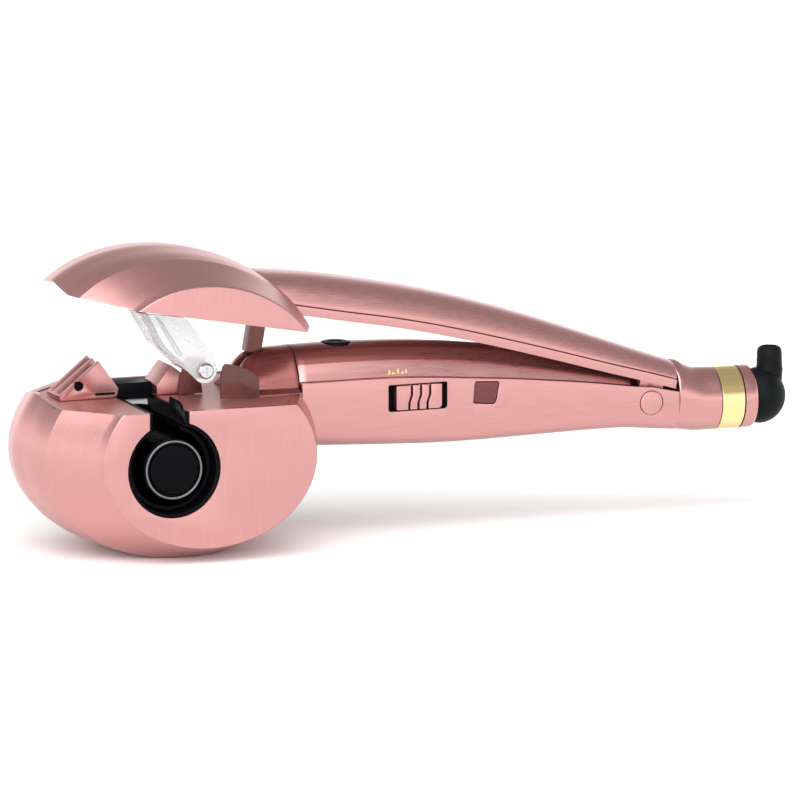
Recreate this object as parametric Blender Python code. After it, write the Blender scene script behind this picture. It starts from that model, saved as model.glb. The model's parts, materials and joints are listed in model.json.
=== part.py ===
"""Automatic hair curler with its jaw open, as separate pieces on their joints.

Lengths are written in millimetres and scaled by MM when meshes are made.
All positions are measured from the barrel axis: +X runs to the tail, +Z is up,
and -Y is the side where the curl chamber is open. One empty moves that origin
to the middle of the bounding box, at the lowest point of the head.
The jaw (lid and lever) is drawn closed and turned open by its own empty.
"""
from math import asin, atan2, cos, hypot, pi, radians, sin

import bmesh
import bpy
from mathutils import Matrix, Vector

MM = 0.001
GAP = 0.3                                   # between pieces that touch

# Where the barrel axis lies in the finished part's frame.
FRAME_AT = (-100.51, 0.0, 35.3)

# Head: (distance from the middle plane, centre X, centre Z, half length, half height).
HEAD_SECTIONS = (
    (0.0, 7.7, 3.5, 56.0, 39.5),
    (7.0, 8.1, 3.3, 55.2, 39.2),
    (14.0, 8.5, 2.9, 53.8, 38.9),
    (20.0, 9.2, 2.5, 51.6, 38.3),
    (29.0, 11.7, 2.5, 46.0, 34.9),
    (37.4, 13.9, 2.5, 40.8, 32.2),
    (38.4, 14.0, 2.5, 39.8, 31.3),
)
HEAD_SEGMENTS = 40
FOOT_Z = -35.3                              # flat patch that the head rests on
HEAD_WALL = 2.2
LID_WALL = 1.8
RIM_Z = 21.0                                # rim of the lower head
RIM_TIP_Z = 24.5                            # rim at the head's nose
RIM_TIP_X = -33.0                           # the rim starts to rise here
LID_GAP = 0.8
REAR_COVER_AT = (14.0, -1.0)                # (X, Z)
REAR_COVER_R = 20.4

# Curl chamber, on the barrel axis (along Y).
CHAMBER_R = 17.3
CHAMBER_WALL = 1.1
CHAMBER_FRONT_Y = -37.6
CHAMBER_FLOOR_Y = 3.5
BARREL_R = 11.25
BARREL_BORE_R = 9.3
BARREL_FRONT_Y = -37.3
BARREL_REAR_Y = -1.0
STEM_R = 3.0
ROTOR_R = 15.7
SLOT_X = (-9.0, 5.5)                        # throat that lets the hair in
THROAT_TOP_Z = 20.8

# Gear train behind the chamber.
GEAR_MODULE = 1.0
ROTOR_TEETH = 34
IDLER_TEETH = 18
PINION_TEETH = 10
MOTOR_AT = (29.0, -17.5)
MOTOR_R = 9.0
GEAR_Y = (5.3, 9.0)

# Hair guides on the deck.
DECK_Z = (19.2, 20.7)
GUIDE_Y = (-2.0, 12.7)
GUIDE_PIVOT = (18.5, 31.9)                  # clear guide's pivot (X, Z)
CLEAR_GUIDE_Y = (-19.0, -4.0)
HAIR_FINGER = ((5.5, 20.0), (5.5, 21.8), (3.9, 24.6), (1.0, 27.0), (-3.2, 28.6), (-4.2, 27.2), (-0.4, 25.4),
               (2.4, 23.2), (4.2, 20.6), (4.3, 20.0))
HAIR_FINGER_Y = (-32.5, -20.2)

# Handle: (X, half width, top of the inner shell, seam, bottom).
HANDLE_SECTIONS = (
    (56.5, 17.0, 36.0, 24.4, -0.2),
    (70.0, 17.0, 36.2, 24.4, -0.8),
    (85.0, 16.8, 36.0, 24.4, -1.5),
    (100.0, 16.4, 35.4, 23.9, -2.1),
    (113.0, 15.9, 34.4, 23.0, -2.5),
    (125.0, 15.4, 33.1, 22.0, -2.5),
    (140.0, 14.7, 31.0, 20.7, -2.2),
    (155.0, 13.8, 28.4, 19.0, -1.9),
    (170.0, 13.0, 25.4, 17.2, -1.6),
    (186.0, 12.3, 21.8, 14.9, -1.7),
    (194.0, 12.1, 20.2, 13.9, -2.5),
    (204.0, 11.9, 18.5, 11.8, -3.4),
)
HANDLE_WALL = 1.6
TOP_SHELL_INSET = 3.1                       # leaves room for the closed lever's walls
TOP_SHELL_END_X = 187.8
# Lever, closed: (X, half width, top, lower edge).
LEVER_SECTIONS = (
    (36.0, 16.2, 37.6, 25.2),
    (46.0, 16.8, 38.5, 25.2),
    (56.5, 17.0, 39.1, 25.1),
    (70.0, 17.0, 39.3, 25.0),
    (85.0, 16.8, 39.1, 25.0),
    (100.0, 16.4, 38.5, 24.5),
    (113.0, 15.9, 37.5, 23.7),
    (125.0, 15.4, 36.2, 22.7),
    (140.0, 14.7, 34.2, 21.3),
    (155.0, 13.8, 31.8, 19.7),
    (170.0, 13.0, 29.2, 18.0),
    (186.0, 12.3, 26.3, 16.4),
    (194.0, 12.1, 24.9, 15.6),
    (201.5, 12.0, 23.7, 14.7),
)
LEVER_WALL = 1.3
LEVER_FRAME_WALL = 0.9
LEVER_BAND = 3.2                            # height of the frame's band under the shell
DOME_POWER = 2.6                            # squareness of the domed sections

# Jaw hinge, near the tail.
HINGE = (193.0, 8.5)
OPEN_ANGLE = 10.0
HINGE_PIN_R = 2.0
RUNNING_GAP = 0.09

# Switch, window and bumper on the handle.
SWITCH_OPENING = (89.5, 112.5, 12.0, 21.9)  # X from, X to, Z from, Z to
KNOB = (92.6, 110.1, 12.5, 21.4)
WINDOW = ((122.5, 13.0), (131.5, 12.2), (133.0, 20.6), (123.2, 21.2))
CASE_SCREWS = ((76.0, 4.6), (160.0, 3.8))    # (X, Z)
BUMPER_X = 75.0
BUMPER_R = 5.3

# Collar between head and handle, with the well for the lid's post.
COLLAR_SECTIONS = ((34.5, 16.2, 25.5), (39.0, 16.3, 32.6), (44.0, 16.5, 35.2), (56.2, 17.0, 36.0))
NECK_HALF_Y = 17.0
NECK_Z = -0.9
WELL_X = (36.4, 46.6)
WELL_HALF_Y = 3.4
WELL_FLOOR_Z = 6.0
POST = (37.7, 43.5, 7.8, 34.3)              # closed: X from, X to, Z from, Z to

# Tail, on its own axis along X.
TAIL_Z = 6.7
TAIL_R = 11.6
RING_X = (221.3, 230.0)
CAP_END_X = 235.6
SWIVEL_BORE_R = 6.3

HEAD, LEVER, ROTOR, IDLER, MOTOR = "head_frame", "lever_pivot", "rotor_pivot", "idler_pivot", "motor_pivot"
KNOB_SLIDE, SWIVEL, PLUNGER, CLEAR = "knob_slide", "swivel_pivot", "plunger_slide", "clear_guide_pivot"

# Colours: base colour, roughness, metallic.
ROSE = ((0.62, 0.27, 0.26), 0.32, 0.75)
BROWN = ((0.09, 0.035, 0.03), 0.35, 0.1)
BLACK = ((0.012, 0.012, 0.014), 0.35, 0.0)
STEEL = ((0.62, 0.62, 0.64), 0.3, 1.0)
GOLD = ((0.83, 0.62, 0.26), 0.15, 1.0)
CLEAR_PLASTIC = ((0.85, 0.87, 0.88), 0.1, 0.0)
SMOKED = ((0.2, 0.1, 0.09), 0.12, 0.0)
BURGUNDY = ((0.12, 0.01, 0.015), 0.12, 0.0)
WHITE_PLASTIC = ((0.8, 0.8, 0.78), 0.4, 0.0)
GREEN_BOARD = ((0.02, 0.16, 0.06), 0.5, 0.0)
CERAMIC = ((0.7, 0.7, 0.68), 0.6, 0.0)

pivots = {}
materials = {}


# ---------------------------------------------------------------- tools

def clear_scene():
    for thing in list(bpy.data.objects):
        bpy.data.objects.remove(thing, do_unlink=True)


def make_collection(name):
    group = bpy.data.collections.new(name)
    bpy.context.scene.collection.children.link(group)
    return group


def make_pivot(name, at=(0, 0, 0), rotation=(0, 0, 0)):
    """An empty on a joint's axis; at is measured from the barrel axis."""
    empty = bpy.data.objects.new(name, None)
    parts.objects.link(empty)
    place = Vector(at)
    if name == HEAD:
        place += Vector(FRAME_AT)
    else:
        empty.parent = pivots[HEAD]
    empty.location = place * MM
    empty.rotation_euler = rotation
    pivots[name] = empty
    return empty


def material(name, look):
    if name not in materials:
        colour, roughness, metallic = look
        new = bpy.data.materials.new(name)
        new.use_nodes = True
        shader = new.node_tree.nodes["Principled BSDF"]
        shader.inputs["Base Color"].default_value = (*colour, 1.0)
        shader.inputs["Roughness"].default_value = roughness
        shader.inputs["Metallic"].default_value = metallic
        materials[name] = new
    return materials[name]


def add_part(name, bm, look, pivot=HEAD, smooth=35.0):
    """Turn a bmesh (millimetres, from the barrel axis) into a named part on its pivot."""
    bmesh.ops.remove_doubles(bm, verts=bm.verts, dist=0.001)
    bmesh.ops.recalc_face_normals(bm, faces=bm.faces)
    origin = Vector() if pivot == HEAD else pivots[pivot].location / MM
    bmesh.ops.translate(bm, verts=bm.verts, vec=-origin)
    bmesh.ops.scale(bm, verts=bm.verts, vec=(MM, MM, MM))
    mesh = bpy.data.meshes.new(name)
    bm.to_mesh(mesh)
    bm.free()
    mesh.shade_smooth()
    mesh.set_sharp_from_angle(angle=radians(smooth))
    mesh.materials.append(material(name, look))
    part = bpy.data.objects.new(name, mesh)
    parts.objects.link(part)
    part.parent = pivots[pivot]
    return part


def add_cutter(name, bm, pivot=HEAD):
    cutter = add_part(name, bm, BLACK, pivot)
    parts.objects.unlink(cutter)
    cutters.objects.link(cutter)
    cutter.hide_render = True
    cutter.display_type = "WIRE"
    return cutter


def combine(part, operation, tools):
    """Boolean the part with each (name, bmesh) tool, in order."""
    pivot = part.parent.name
    for name, bm in tools:
        cutter = add_cutter(part.name + "_" + name, bm, pivot)
        step = part.modifiers.new(name, "BOOLEAN")
        step.operation = operation
        step.solver = "EXACT"
        step.object = cutter
    return part


def cut(part, *tools):
    return combine(part, "DIFFERENCE", tools)


def join(part, *tools):
    return combine(part, "UNION", tools)


def keep(part, *tools):
    return combine(part, "INTERSECT", tools)


# ---------------------------------------------------------------- shapes

def box(x, y, z):
    """A box between the two limits given on each axis."""
    bm = bmesh.new()
    bmesh.ops.create_cube(bm, size=1.0)
    size = Vector((x[1] - x[0], y[1] - y[0], z[1] - z[0]))
    middle = Vector((x[1] + x[0], y[1] + y[0], z[1] + z[0])) / 2
    bmesh.ops.scale(bm, verts=bm.verts, vec=size)
    bmesh.ops.translate(bm, verts=bm.verts, vec=middle)
    return bm


def rounded_box(x, y, z, radius, steps=2):
    bm = box(x, y, z)
    bmesh.ops.bevel(bm, geom=bm.edges[:], offset=radius, segments=steps, affect="EDGES", profile=0.5)
    return bm


AXIS_TURN = {"x": Matrix.Rotation(pi / 2, 3, "Y"), "y": Matrix.Rotation(-pi / 2, 3, "X"), "z": Matrix.Identity(3)}


def rod(axis, span, radius, at=(0.0, 0.0), segments=32):
    """A cylinder along an axis; at holds its two other coordinates, in X, Y, Z order."""
    bm = bmesh.new()
    bmesh.ops.create_cone(bm, cap_ends=True, segments=segments, radius1=radius, radius2=radius,
                          depth=span[1] - span[0])
    bmesh.ops.rotate(bm, verts=bm.verts, matrix=AXIS_TURN[axis])
    middle = (span[0] + span[1]) / 2
    places = {"x": (middle, at[0], at[1]), "y": (at[0], middle, at[1]), "z": (at[0], at[1], middle)}
    bmesh.ops.translate(bm, verts=bm.verts, vec=places[axis])
    return bm


def turned(axis, profile, at=(0.0, 0.0), segments=40, ring=True):
    """Spin a profile of (distance along the axis, radius); a ring's profile is closed."""
    bm = bmesh.new()
    points = [bm.verts.new((radius, 0.0, along)) for along, radius in profile]
    following = points[1:] + points[:1] if ring else points[1:]
    edges = [bm.edges.new(pair) for pair in zip(points, following)]
    bmesh.ops.spin(bm, geom=points + edges, cent=(0, 0, 0), axis=(0, 0, 1), angle=2 * pi,
                   steps=segments, use_merge=True)
    bmesh.ops.rotate(bm, verts=bm.verts, matrix=AXIS_TURN[axis])
    places = {"x": (0.0, *at), "y": (at[0], 0.0, at[1]), "z": (*at, 0.0)}
    bmesh.ops.translate(bm, verts=bm.verts, vec=places[axis])
    return bm


def tube(axis, span, outer, inner, at=(0.0, 0.0), segments=40):
    profile = ((span[0], outer), (span[1], outer), (span[1], inner), (span[0], inner))
    return turned(axis, profile, at, segments)


def plate_xz(outline, y):
    """An outline of (X, Z) points, extruded between the two Y limits."""
    bm = bmesh.new()
    near = [bm.verts.new((x, y[0], z)) for x, z in outline]
    face = bm.faces.new(near)
    far = bmesh.ops.extrude_face_region(bm, geom=[face])
    moved = [item for item in far["geom"] if isinstance(item, bmesh.types.BMVert)]
    bmesh.ops.translate(bm, verts=moved, vec=(0, y[1] - y[0], 0))
    return bm


def loft(sections, closed=True):
    """Skin a list of equal-length point rows; closed sections are capped at both ends."""
    bm = bmesh.new()
    rows = [[bm.verts.new(point) for point in section] for section in sections]
    count = len(rows[0])
    last = count if closed else count - 1
    for one, two in zip(rows, rows[1:]):
        for i in range(last):
            j = (i + 1) % count
            bm.faces.new((one[i], one[j], two[j], two[i]))
    if closed:
        bm.faces.new(rows[0])
        bm.faces.new(list(reversed(rows[-1])))
    return bm


def interpolate(table, x):
    """The row of a table at x, between its neighbours."""
    if x <= table[0][0]:
        return table[0][1:]
    for low, high in zip(table, table[1:]):
        if x <= high[0]:
            t = (x - low[0]) / (high[0] - low[0])
            return tuple(a + (b - a) * t for a, b in zip(low[1:], high[1:]))
    return table[-1][1:]


def arc(centre, radius, start, end, steps):
    """Points on an arc, angles in degrees."""
    turns = [radians(start + (end - start) * i / steps) for i in range(steps + 1)]
    return [(centre[0] + radius * cos(a), centre[1] + radius * sin(a)) for a in turns]


# ---------------------------------------------------------------- head

def egg(inset=0.0):
    """The closed form of head and lid, or the same form drawn in by an inset."""
    sections = []
    stations = [(-row[0],) + row[1:] for row in reversed(HEAD_SECTIONS[1:])] + list(HEAD_SECTIONS)
    for y, x0, z0, a, b in stations:
        y_in = y * (HEAD_SECTIONS[-1][0] - inset) / HEAD_SECTIONS[-1][0]
        points = []
        for step in range(HEAD_SEGMENTS):
            turn = 2 * pi * (step + 0.5) / HEAD_SEGMENTS
            points.append((x0 + (a - inset) * cos(turn), y_in, z0 + (b - inset) * sin(turn)))
        sections.append(points)
    return loft(sections)


def rim_prism(raise_by, upper):
    """Everything above the rim (upper) or below it, with the rise at the nose."""
    flat = RIM_Z + raise_by
    tip = RIM_TIP_Z + raise_by
    far_z = 90.0 if upper else -90.0
    crest = [(-70.0, flat), (-20.0, flat), (0.0, tip), (20.0, flat), (70.0, flat), (70.0, far_z), (-70.0, far_z)]
    level = [(-70.0, flat), (-20.0, flat), (0.0, flat), (20.0, flat), (70.0, flat), (70.0, far_z), (-70.0, far_z)]
    stations = ((-90.0, crest), (RIM_TIP_X - 10.0, crest), (RIM_TIP_X + 12.0, level), (120.0, level))
    return loft([[(x, y, z) for y, z in outline] for x, outline in stations])


def dome(half_width, base_z, top_z, start=0.0, steps=6):
    """Domed section as (Y, Z), from the -Y edge to the +Y edge; start trims it that far above its base."""
    first = asin((start / (top_z - base_z)) ** (DOME_POWER / 2))
    points = []
    for step in range(2 * steps + 1):
        turn = pi - first - (pi - 2 * first) * step / (2 * steps)
        c, s = cos(turn), sin(turn)
        y = half_width * abs(c) ** (2 / DOME_POWER) * (1 if c > 0 else -1)
        points.append((y, base_z + (top_z - base_z) * abs(s) ** (2 / DOME_POWER)))
    return points


def ridge(half_width, base_z, top_z):
    """Section of the handle's top as (Y, Z): a chamfer on each side, then a shallow crown."""
    rise = top_z - base_z
    side = [(half_width, base_z), (half_width - 0.5, base_z + 0.22 * rise), (half_width - 2.7, base_z + 0.5 * rise),
            (half_width - 5.0, base_z + 0.74 * rise), (0.42 * half_width, base_z + 0.92 * rise)]
    return [(-y, z) for y, z in side] + [(0.0, top_z)] + list(reversed(side))


def lever_envelope(grow):
    """A closed solid of the lever's outside, grown all round, used to cut the lid."""
    sections = []
    for x, width, top, edge in ((LEVER_SECTIONS[0][0] - grow,) + LEVER_SECTIONS[0][1:],) + LEVER_SECTIONS[1:6]:
        rim = [(x, y, z) for y, z in dome(width + grow, edge, top + grow)]
        sections.append([(x, -width - grow, 0.0)] + rim + [(x, width + grow, 0.0)])
    return loft(sections)


def build_head_shell():
    shell = add_part("head_shell", egg(), ROSE)
    low, high = SLOT_X
    bore_r = CHAMBER_R + GAP
    cut(shell,
        ("above_rim", rim_prism(0.0, upper=True)),
        ("foot", box((-60, 80), (-50, 50), (-60, FOOT_Z))),
        ("neck_notch", box((31, 80), (-NECK_HALF_Y - GAP, NECK_HALF_Y + GAP), (NECK_Z - GAP, 43))),
        ("inside", egg(HEAD_WALL)),
        ("chamber_bore", rod("y", (-45, -30), bore_r, segments=40)),
        ("slot", box((low - GAP, high + GAP), (-45, -30), (10, 40))),
        ("rear_opening", rod("y", (30, 45), REAR_COVER_R + GAP, at=REAR_COVER_AT, segments=40)))
    return shell


def build_rear_cover():
    face = HEAD_SECTIONS[-1][0]
    radius = REAR_COVER_R
    profile = ((face - 2.0, 0.0), (face - 2.0, radius), (face - 0.4, radius), (face, radius - 0.4), (face, 0.0))
    return add_part("rear_cover", turned("y", profile, REAR_COVER_AT, ring=False), ROSE)


def build_deck():
    low, high = SLOT_X
    deck = add_part("head_deck", box((-60, 70), (-45, 45), DECK_Z), BROWN)
    keep(deck, ("inside", egg(HEAD_WALL + GAP)))
    cut(deck,
        ("slot", box((low - GAP, high + GAP), (-45, GUIDE_Y[1] + GAP), (10, 40))),
        ("neck", box((34.2, 80), (-NECK_HALF_Y - GAP, NECK_HALF_Y + GAP), (10, 40))))
    return deck


def build_chamber():
    low, high = SLOT_X
    inner = CHAMBER_R - CHAMBER_WALL
    floor = CHAMBER_FLOOR_Y - 1.2
    profile = ((CHAMBER_FRONT_Y, CHAMBER_R), (CHAMBER_FLOOR_Y, CHAMBER_R), (CHAMBER_FLOOR_Y, 5.9),
               (floor, 5.9), (floor, inner), (CHAMBER_FRONT_Y, inner))
    cup = add_part("chamber_cup", turned("y", profile), BLACK)
    depth = (CHAMBER_FRONT_Y + 0.4, CHAMBER_FLOOR_Y)
    join(cup,
         ("left_throat", box((low, low + CHAMBER_WALL), depth, (14.0, THROAT_TOP_Z))),
         ("right_throat", box((high - CHAMBER_WALL, high), depth, (15.6, THROAT_TOP_Z))),
         ("hair_stop", box((low + 0.7, high), (CHAMBER_FLOOR_Y - 1.0, GUIDE_Y[1]), (DECK_Z[0], 25.2))),
         ("hair_finger", plate_xz(HAIR_FINGER, HAIR_FINGER_Y)))
    cut(cup, ("slot", box((low + CHAMBER_WALL, high - CHAMBER_WALL), (-45, floor - 0.01), (5, 40))))
    return cup


def build_barrel():
    wall_y = BARREL_REAR_Y - 1.5
    profile = ((BARREL_FRONT_Y, BARREL_R), (BARREL_REAR_Y, BARREL_R), (BARREL_REAR_Y, STEM_R), (11.0, STEM_R),
               (11.0, 1.6), (wall_y, 1.6), (wall_y, BARREL_BORE_R), (BARREL_FRONT_Y, BARREL_BORE_R))
    add_part("barrel", turned("y", profile), BLACK)
    add_part("barrel_ring", tube("y", (BARREL_FRONT_Y - 0.8, BARREL_FRONT_Y - GAP), 10.9, 9.9), STEEL)
    cap = rod("y", (BARREL_FRONT_Y - 0.8, BARREL_FRONT_Y + 2.0), 9.0, segments=40)
    add_part("barrel_cap", cap, BLACK)
    heater = add_part("heater_core", rod("y", (-33.0, -4.0), 8.9, segments=32), CERAMIC)
    cut(heater, ("flat", box((-10, 10), (-34, -3), (3.0, 10))))
    add_part("thermostat", rounded_box((-3.0, 3.0), (-24, -14), (3.0 + GAP, 6.6), 0.5), STEEL)


def build_rotor():
    """The winding sleeve: a floor with a hub, a wall round the barrel and a notch for the hair."""
    inner = ROTOR_R - 1.5
    profile = ((-33.0, ROTOR_R), (1.6, ROTOR_R), (1.6, 5.5), (5.0, 5.5), (5.0, 3.4), (0.0, 3.4),
               (0.0, inner), (-33.0, inner))
    rotor = add_part("rotor", turned("y", profile), BLACK, ROTOR)
    low, high = SLOT_X
    notch = [(low + 1.4, -1.0), (high - 1.4, -1.0), (high - 1.4, 20.0), (low + 1.4, 20.0)]
    cut(rotor,
        ("notch", plate_xz(notch, (-40.0, -0.01))),
        ("hook_relief", plate_xz([(-20, 4.0), (-6, 9.0), (-6, 20.0), (-20, 20.0)], (-40.0, -18.0))),
        ("clear_barrel", rod("y", (-40.0, -0.02), BARREL_R + 1.6)))
    return rotor


# ---------------------------------------------------------------- gears

def gear_outline(teeth, at, first_tooth):
    """Trapezoid teeth on a pitch circle, thinned so that they run freely."""
    pitch_r = GEAR_MODULE * teeth / 2
    tip_r, root_r = pitch_r + 0.85 * GEAR_MODULE, pitch_r - 1.2 * GEAR_MODULE
    tooth = 2 * pi / teeth
    points = []
    for number in range(teeth):
        middle = first_tooth + number * tooth
        for offset, radius in ((-0.30, root_r), (-0.105, tip_r), (0.105, tip_r), (0.30, root_r)):
            turn = middle + offset * tooth
            points.append((at[0] + radius * cos(turn), at[1] + radius * sin(turn)))
    return points


def idler_centre():
    """Where the idler meshes with both the rotor gear and the motor pinion."""
    reach = GEAR_MODULE * (ROTOR_TEETH + IDLER_TEETH) / 2
    drop = GEAR_MODULE * (IDLER_TEETH + PINION_TEETH) / 2
    span = hypot(*MOTOR_AT)
    along = (reach ** 2 - drop ** 2 + span ** 2) / (2 * span)
    aside = (reach ** 2 - along ** 2) ** 0.5
    ux, uz = MOTOR_AT[0] / span, MOTOR_AT[1] / span
    return along * ux + aside * uz, along * uz - aside * ux


def meshing_phase(driver_teeth, driver_phase, centre_from, driven_teeth, centre_to):
    """First tooth angle of a gear so that its gap faces the driver's tooth on the line of centres."""
    line = atan2(centre_to[1] - centre_from[1], centre_to[0] - centre_from[0])
    driver_share = ((line - driver_phase) * driver_teeth / (2 * pi)) % 1.0
    return line + pi + (driver_share + 0.5) * 2 * pi / driven_teeth


def build_gears():
    centre = (0.0, 0.0)
    idler = idler_centre()
    idler_phase = meshing_phase(ROTOR_TEETH, 0.0, centre, IDLER_TEETH, idler)
    pinion_phase = meshing_phase(IDLER_TEETH, idler_phase, idler, PINION_TEETH, MOTOR_AT)
    add_gear("rotor_gear", ROTOR_TEETH, centre, 0.0, 3.4, ROTOR)
    add_gear("idler_gear", IDLER_TEETH, idler, idler_phase, 2.08, IDLER)
    add_gear("motor_pinion", PINION_TEETH, MOTOR_AT, pinion_phase, 1.3, MOTOR)
    add_part("idler_axle", rod("y", (4.2, 10.6), 2.0, at=idler, segments=24), STEEL)
    shaft = rod("y", (-2.0, 9.3), 1.0, at=MOTOR_AT, segments=16)
    add_part("motor_shaft", shaft, STEEL, MOTOR)


def add_gear(name, teeth, at, phase, bore_r, pivot):
    gear = add_part(name, plate_xz(gear_outline(teeth, at, phase), GEAR_Y), WHITE_PLASTIC, pivot, smooth=10.0)
    cut(gear, ("bore", rod("y", (0, 20), bore_r, at=at, segments=24)))
    return gear


def build_motor():
    body = rod("y", (-21.0, 3.4), MOTOR_R, at=MOTOR_AT, segments=32)
    motor = add_part("motor", body, STEEL)
    cut(motor, ("shaft_hole", rod("y", (-3.0, 5.0), 1.3, at=MOTOR_AT, segments=16)))


def build_chassis():
    """The bulkhead behind the chamber, and the cover that closes the gear train."""
    idler = idler_centre()
    outline_box = box((-60, 60), (3.8, 5.0), (-34, DECK_Z[0] - GAP))
    chassis = add_part("chassis_plate", outline_box, WHITE_PLASTIC)
    keep(chassis, ("inside", egg(HEAD_WALL + 0.5)))
    cut(chassis,
        ("neck", box((33.8, 80), (-18, 18), (-3.6, 40))),
        ("hub_hole", rod("y", (3, 6), 5.9)),
        ("axle_hole", rod("y", (3, 6), 2.3, at=idler, segments=24)),
        ("shaft_hole", rod("y", (3, 6), 1.6, at=MOTOR_AT, segments=24)))
    cover = add_part("gear_cover", box((-20, 33.5), (9.4, 10.7), (-28.5, DECK_Z[0] - GAP)), WHITE_PLASTIC)
    keep(cover, ("inside", egg(HEAD_WALL + 0.5)))
    cut(cover,
        ("stem_hole", rod("y", (9, 12), STEM_R + GAP)),
        ("axle_hole", rod("y", (9, 12), 2.3, at=idler, segments=24)),
        ("corner", box((20, 40), (9, 12), (-40, -24.8))))
    stand = (5.0 + GAP, 9.8)
    join(cover, *[("stand_%d" % i, rod("y", stand, 1.8, at=place, segments=12))
                  for i, place in enumerate(((-18.2, 14.0), (-18.2, -18.0), (31.5, 6.0)))])


# ---------------------------------------------------------------- hair guides

def build_guides():
    base = DECK_Z[1] + GAP
    low, high = SLOT_X
    left = add_part("left_guide", plate_xz([(-30.8, base), (low - 0.3, base), (low + 0.4, 24.2), (-15.9, 34.4),
                                            (-30.8, 22.3)], GUIDE_Y), ROSE)
    cut(left, ("eye", rod("y", (-10, 3.0), 1.8, at=(-23.7, 25.9), segments=20)))
    add_part("right_guide", plate_xz([(high + 0.5, base), (21.1, base), (21.1, 24.4), (11.6, 31.5),
                                      (high + 0.5, 24.2)], GUIDE_Y), ROSE)
    px, pz = GUIDE_PIVOT
    ear = [(px - 4.5, base), (px + 4.5, base)] + arc(GUIDE_PIVOT, 3.0, 0, 180, 8)
    bracket = add_part("guide_bracket", plate_xz(ear, (-3.6, -2.3)), BROWN)
    cut(bracket, ("screw_hole", rod("y", (-5, -1), 1.5, at=GUIDE_PIVOT, segments=24)))
    screw = [(-20.9, 0.0), (-20.9, 2.4), (-20.4, 2.8), (CLEAR_GUIDE_Y[0] - GAP, 2.8),
             (CLEAR_GUIDE_Y[0] - GAP, 1.2), (-2.6, 1.2), (-2.6, 0.0)]
    add_part("guide_screw", turned("y", screw, GUIDE_PIVOT, 24, ring=False), STEEL)
    guard = [(24.8, 21.0), (39.5, 21.0), (39.5, 27.8), (37.0, 30.2), (31.0, 33.0), (26.0, 33.9), (24.8, 30.5)]
    add_part("smoky_guard", plate_xz(guard, (-18.5, -17.3)), SMOKED)


def build_clear_guide():
    """A clear channel on its own pivot: a front plate and a side plate, open behind."""
    px, pz = GUIDE_PIVOT
    near, far = CLEAR_GUIDE_Y
    outline = [(-6.8, 54.4), (11.5, 51.6), (19.6, 40.3), (22.6, 35.2)] + arc(GUIDE_PIVOT, 4.6, 10, -140, 8)
    outline += [(10.0, 33.8), (1.8, 41.0)]
    guide = add_part("clear_guide", plate_xz(outline, (near, far)), CLEAR_PLASTIC, CLEAR)
    pocket = [(-4.9, 58.0), (40.0, 58.0), (40.0, 20.0), (12.0, 20.0), (12.0, 33.9), (3.5, 41.4)]
    cut(guide, ("pocket", plate_xz(pocket, (near + 1.5, far + 5))))
    join(guide, ("boss", rod("y", (near + 1.0, far), 3.0, at=GUIDE_PIVOT, segments=24)))
    cut(guide, ("pivot_bore", rod("y", (near - 5, far + 5), 1.2 + RUNNING_GAP, at=GUIDE_PIVOT, segments=24)))
    return guide


# ---------------------------------------------------------------- lever and lid

def build_lid():
    lid = add_part("lid_shell", egg(), ROSE, LEVER)
    cut(lid,
        ("below_rim", rim_prism(LID_GAP, upper=False)),
        ("inside", egg(LID_WALL)),
        ("lever_notch", lever_envelope(GAP)))
    frame = add_part("lid_frame", egg(LID_WALL + GAP), BROWN, LEVER)
    cut(frame,
        ("below", rim_prism(LID_GAP + 1.0, upper=False)),
        ("above", rim_prism(LID_GAP + 3.2, upper=True)),
        ("inside", egg(LID_WALL + 2.6)),
        ("lever_notch", lever_envelope(GAP)),
        ("neck_notch", box((34.0, 80), (-NECK_HALF_Y - 1.0, NECK_HALF_Y + 1.0), (0, 60))))


def lever_rows(inset, start):
    """Lever sections drawn in by an inset and trimmed at a height above the lower edge."""
    return [[(x, y, z) for y, z in dome(width - inset, edge, top - inset, start)]
            for x, width, top, edge in LEVER_SECTIONS]


def wall_between(outer, inner):
    """A closed wall between two skins of equal rows; the skins' free edges are joined."""
    return loft([row_out + list(reversed(row_in)) for row_out, row_in in zip(outer, inner)])


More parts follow.
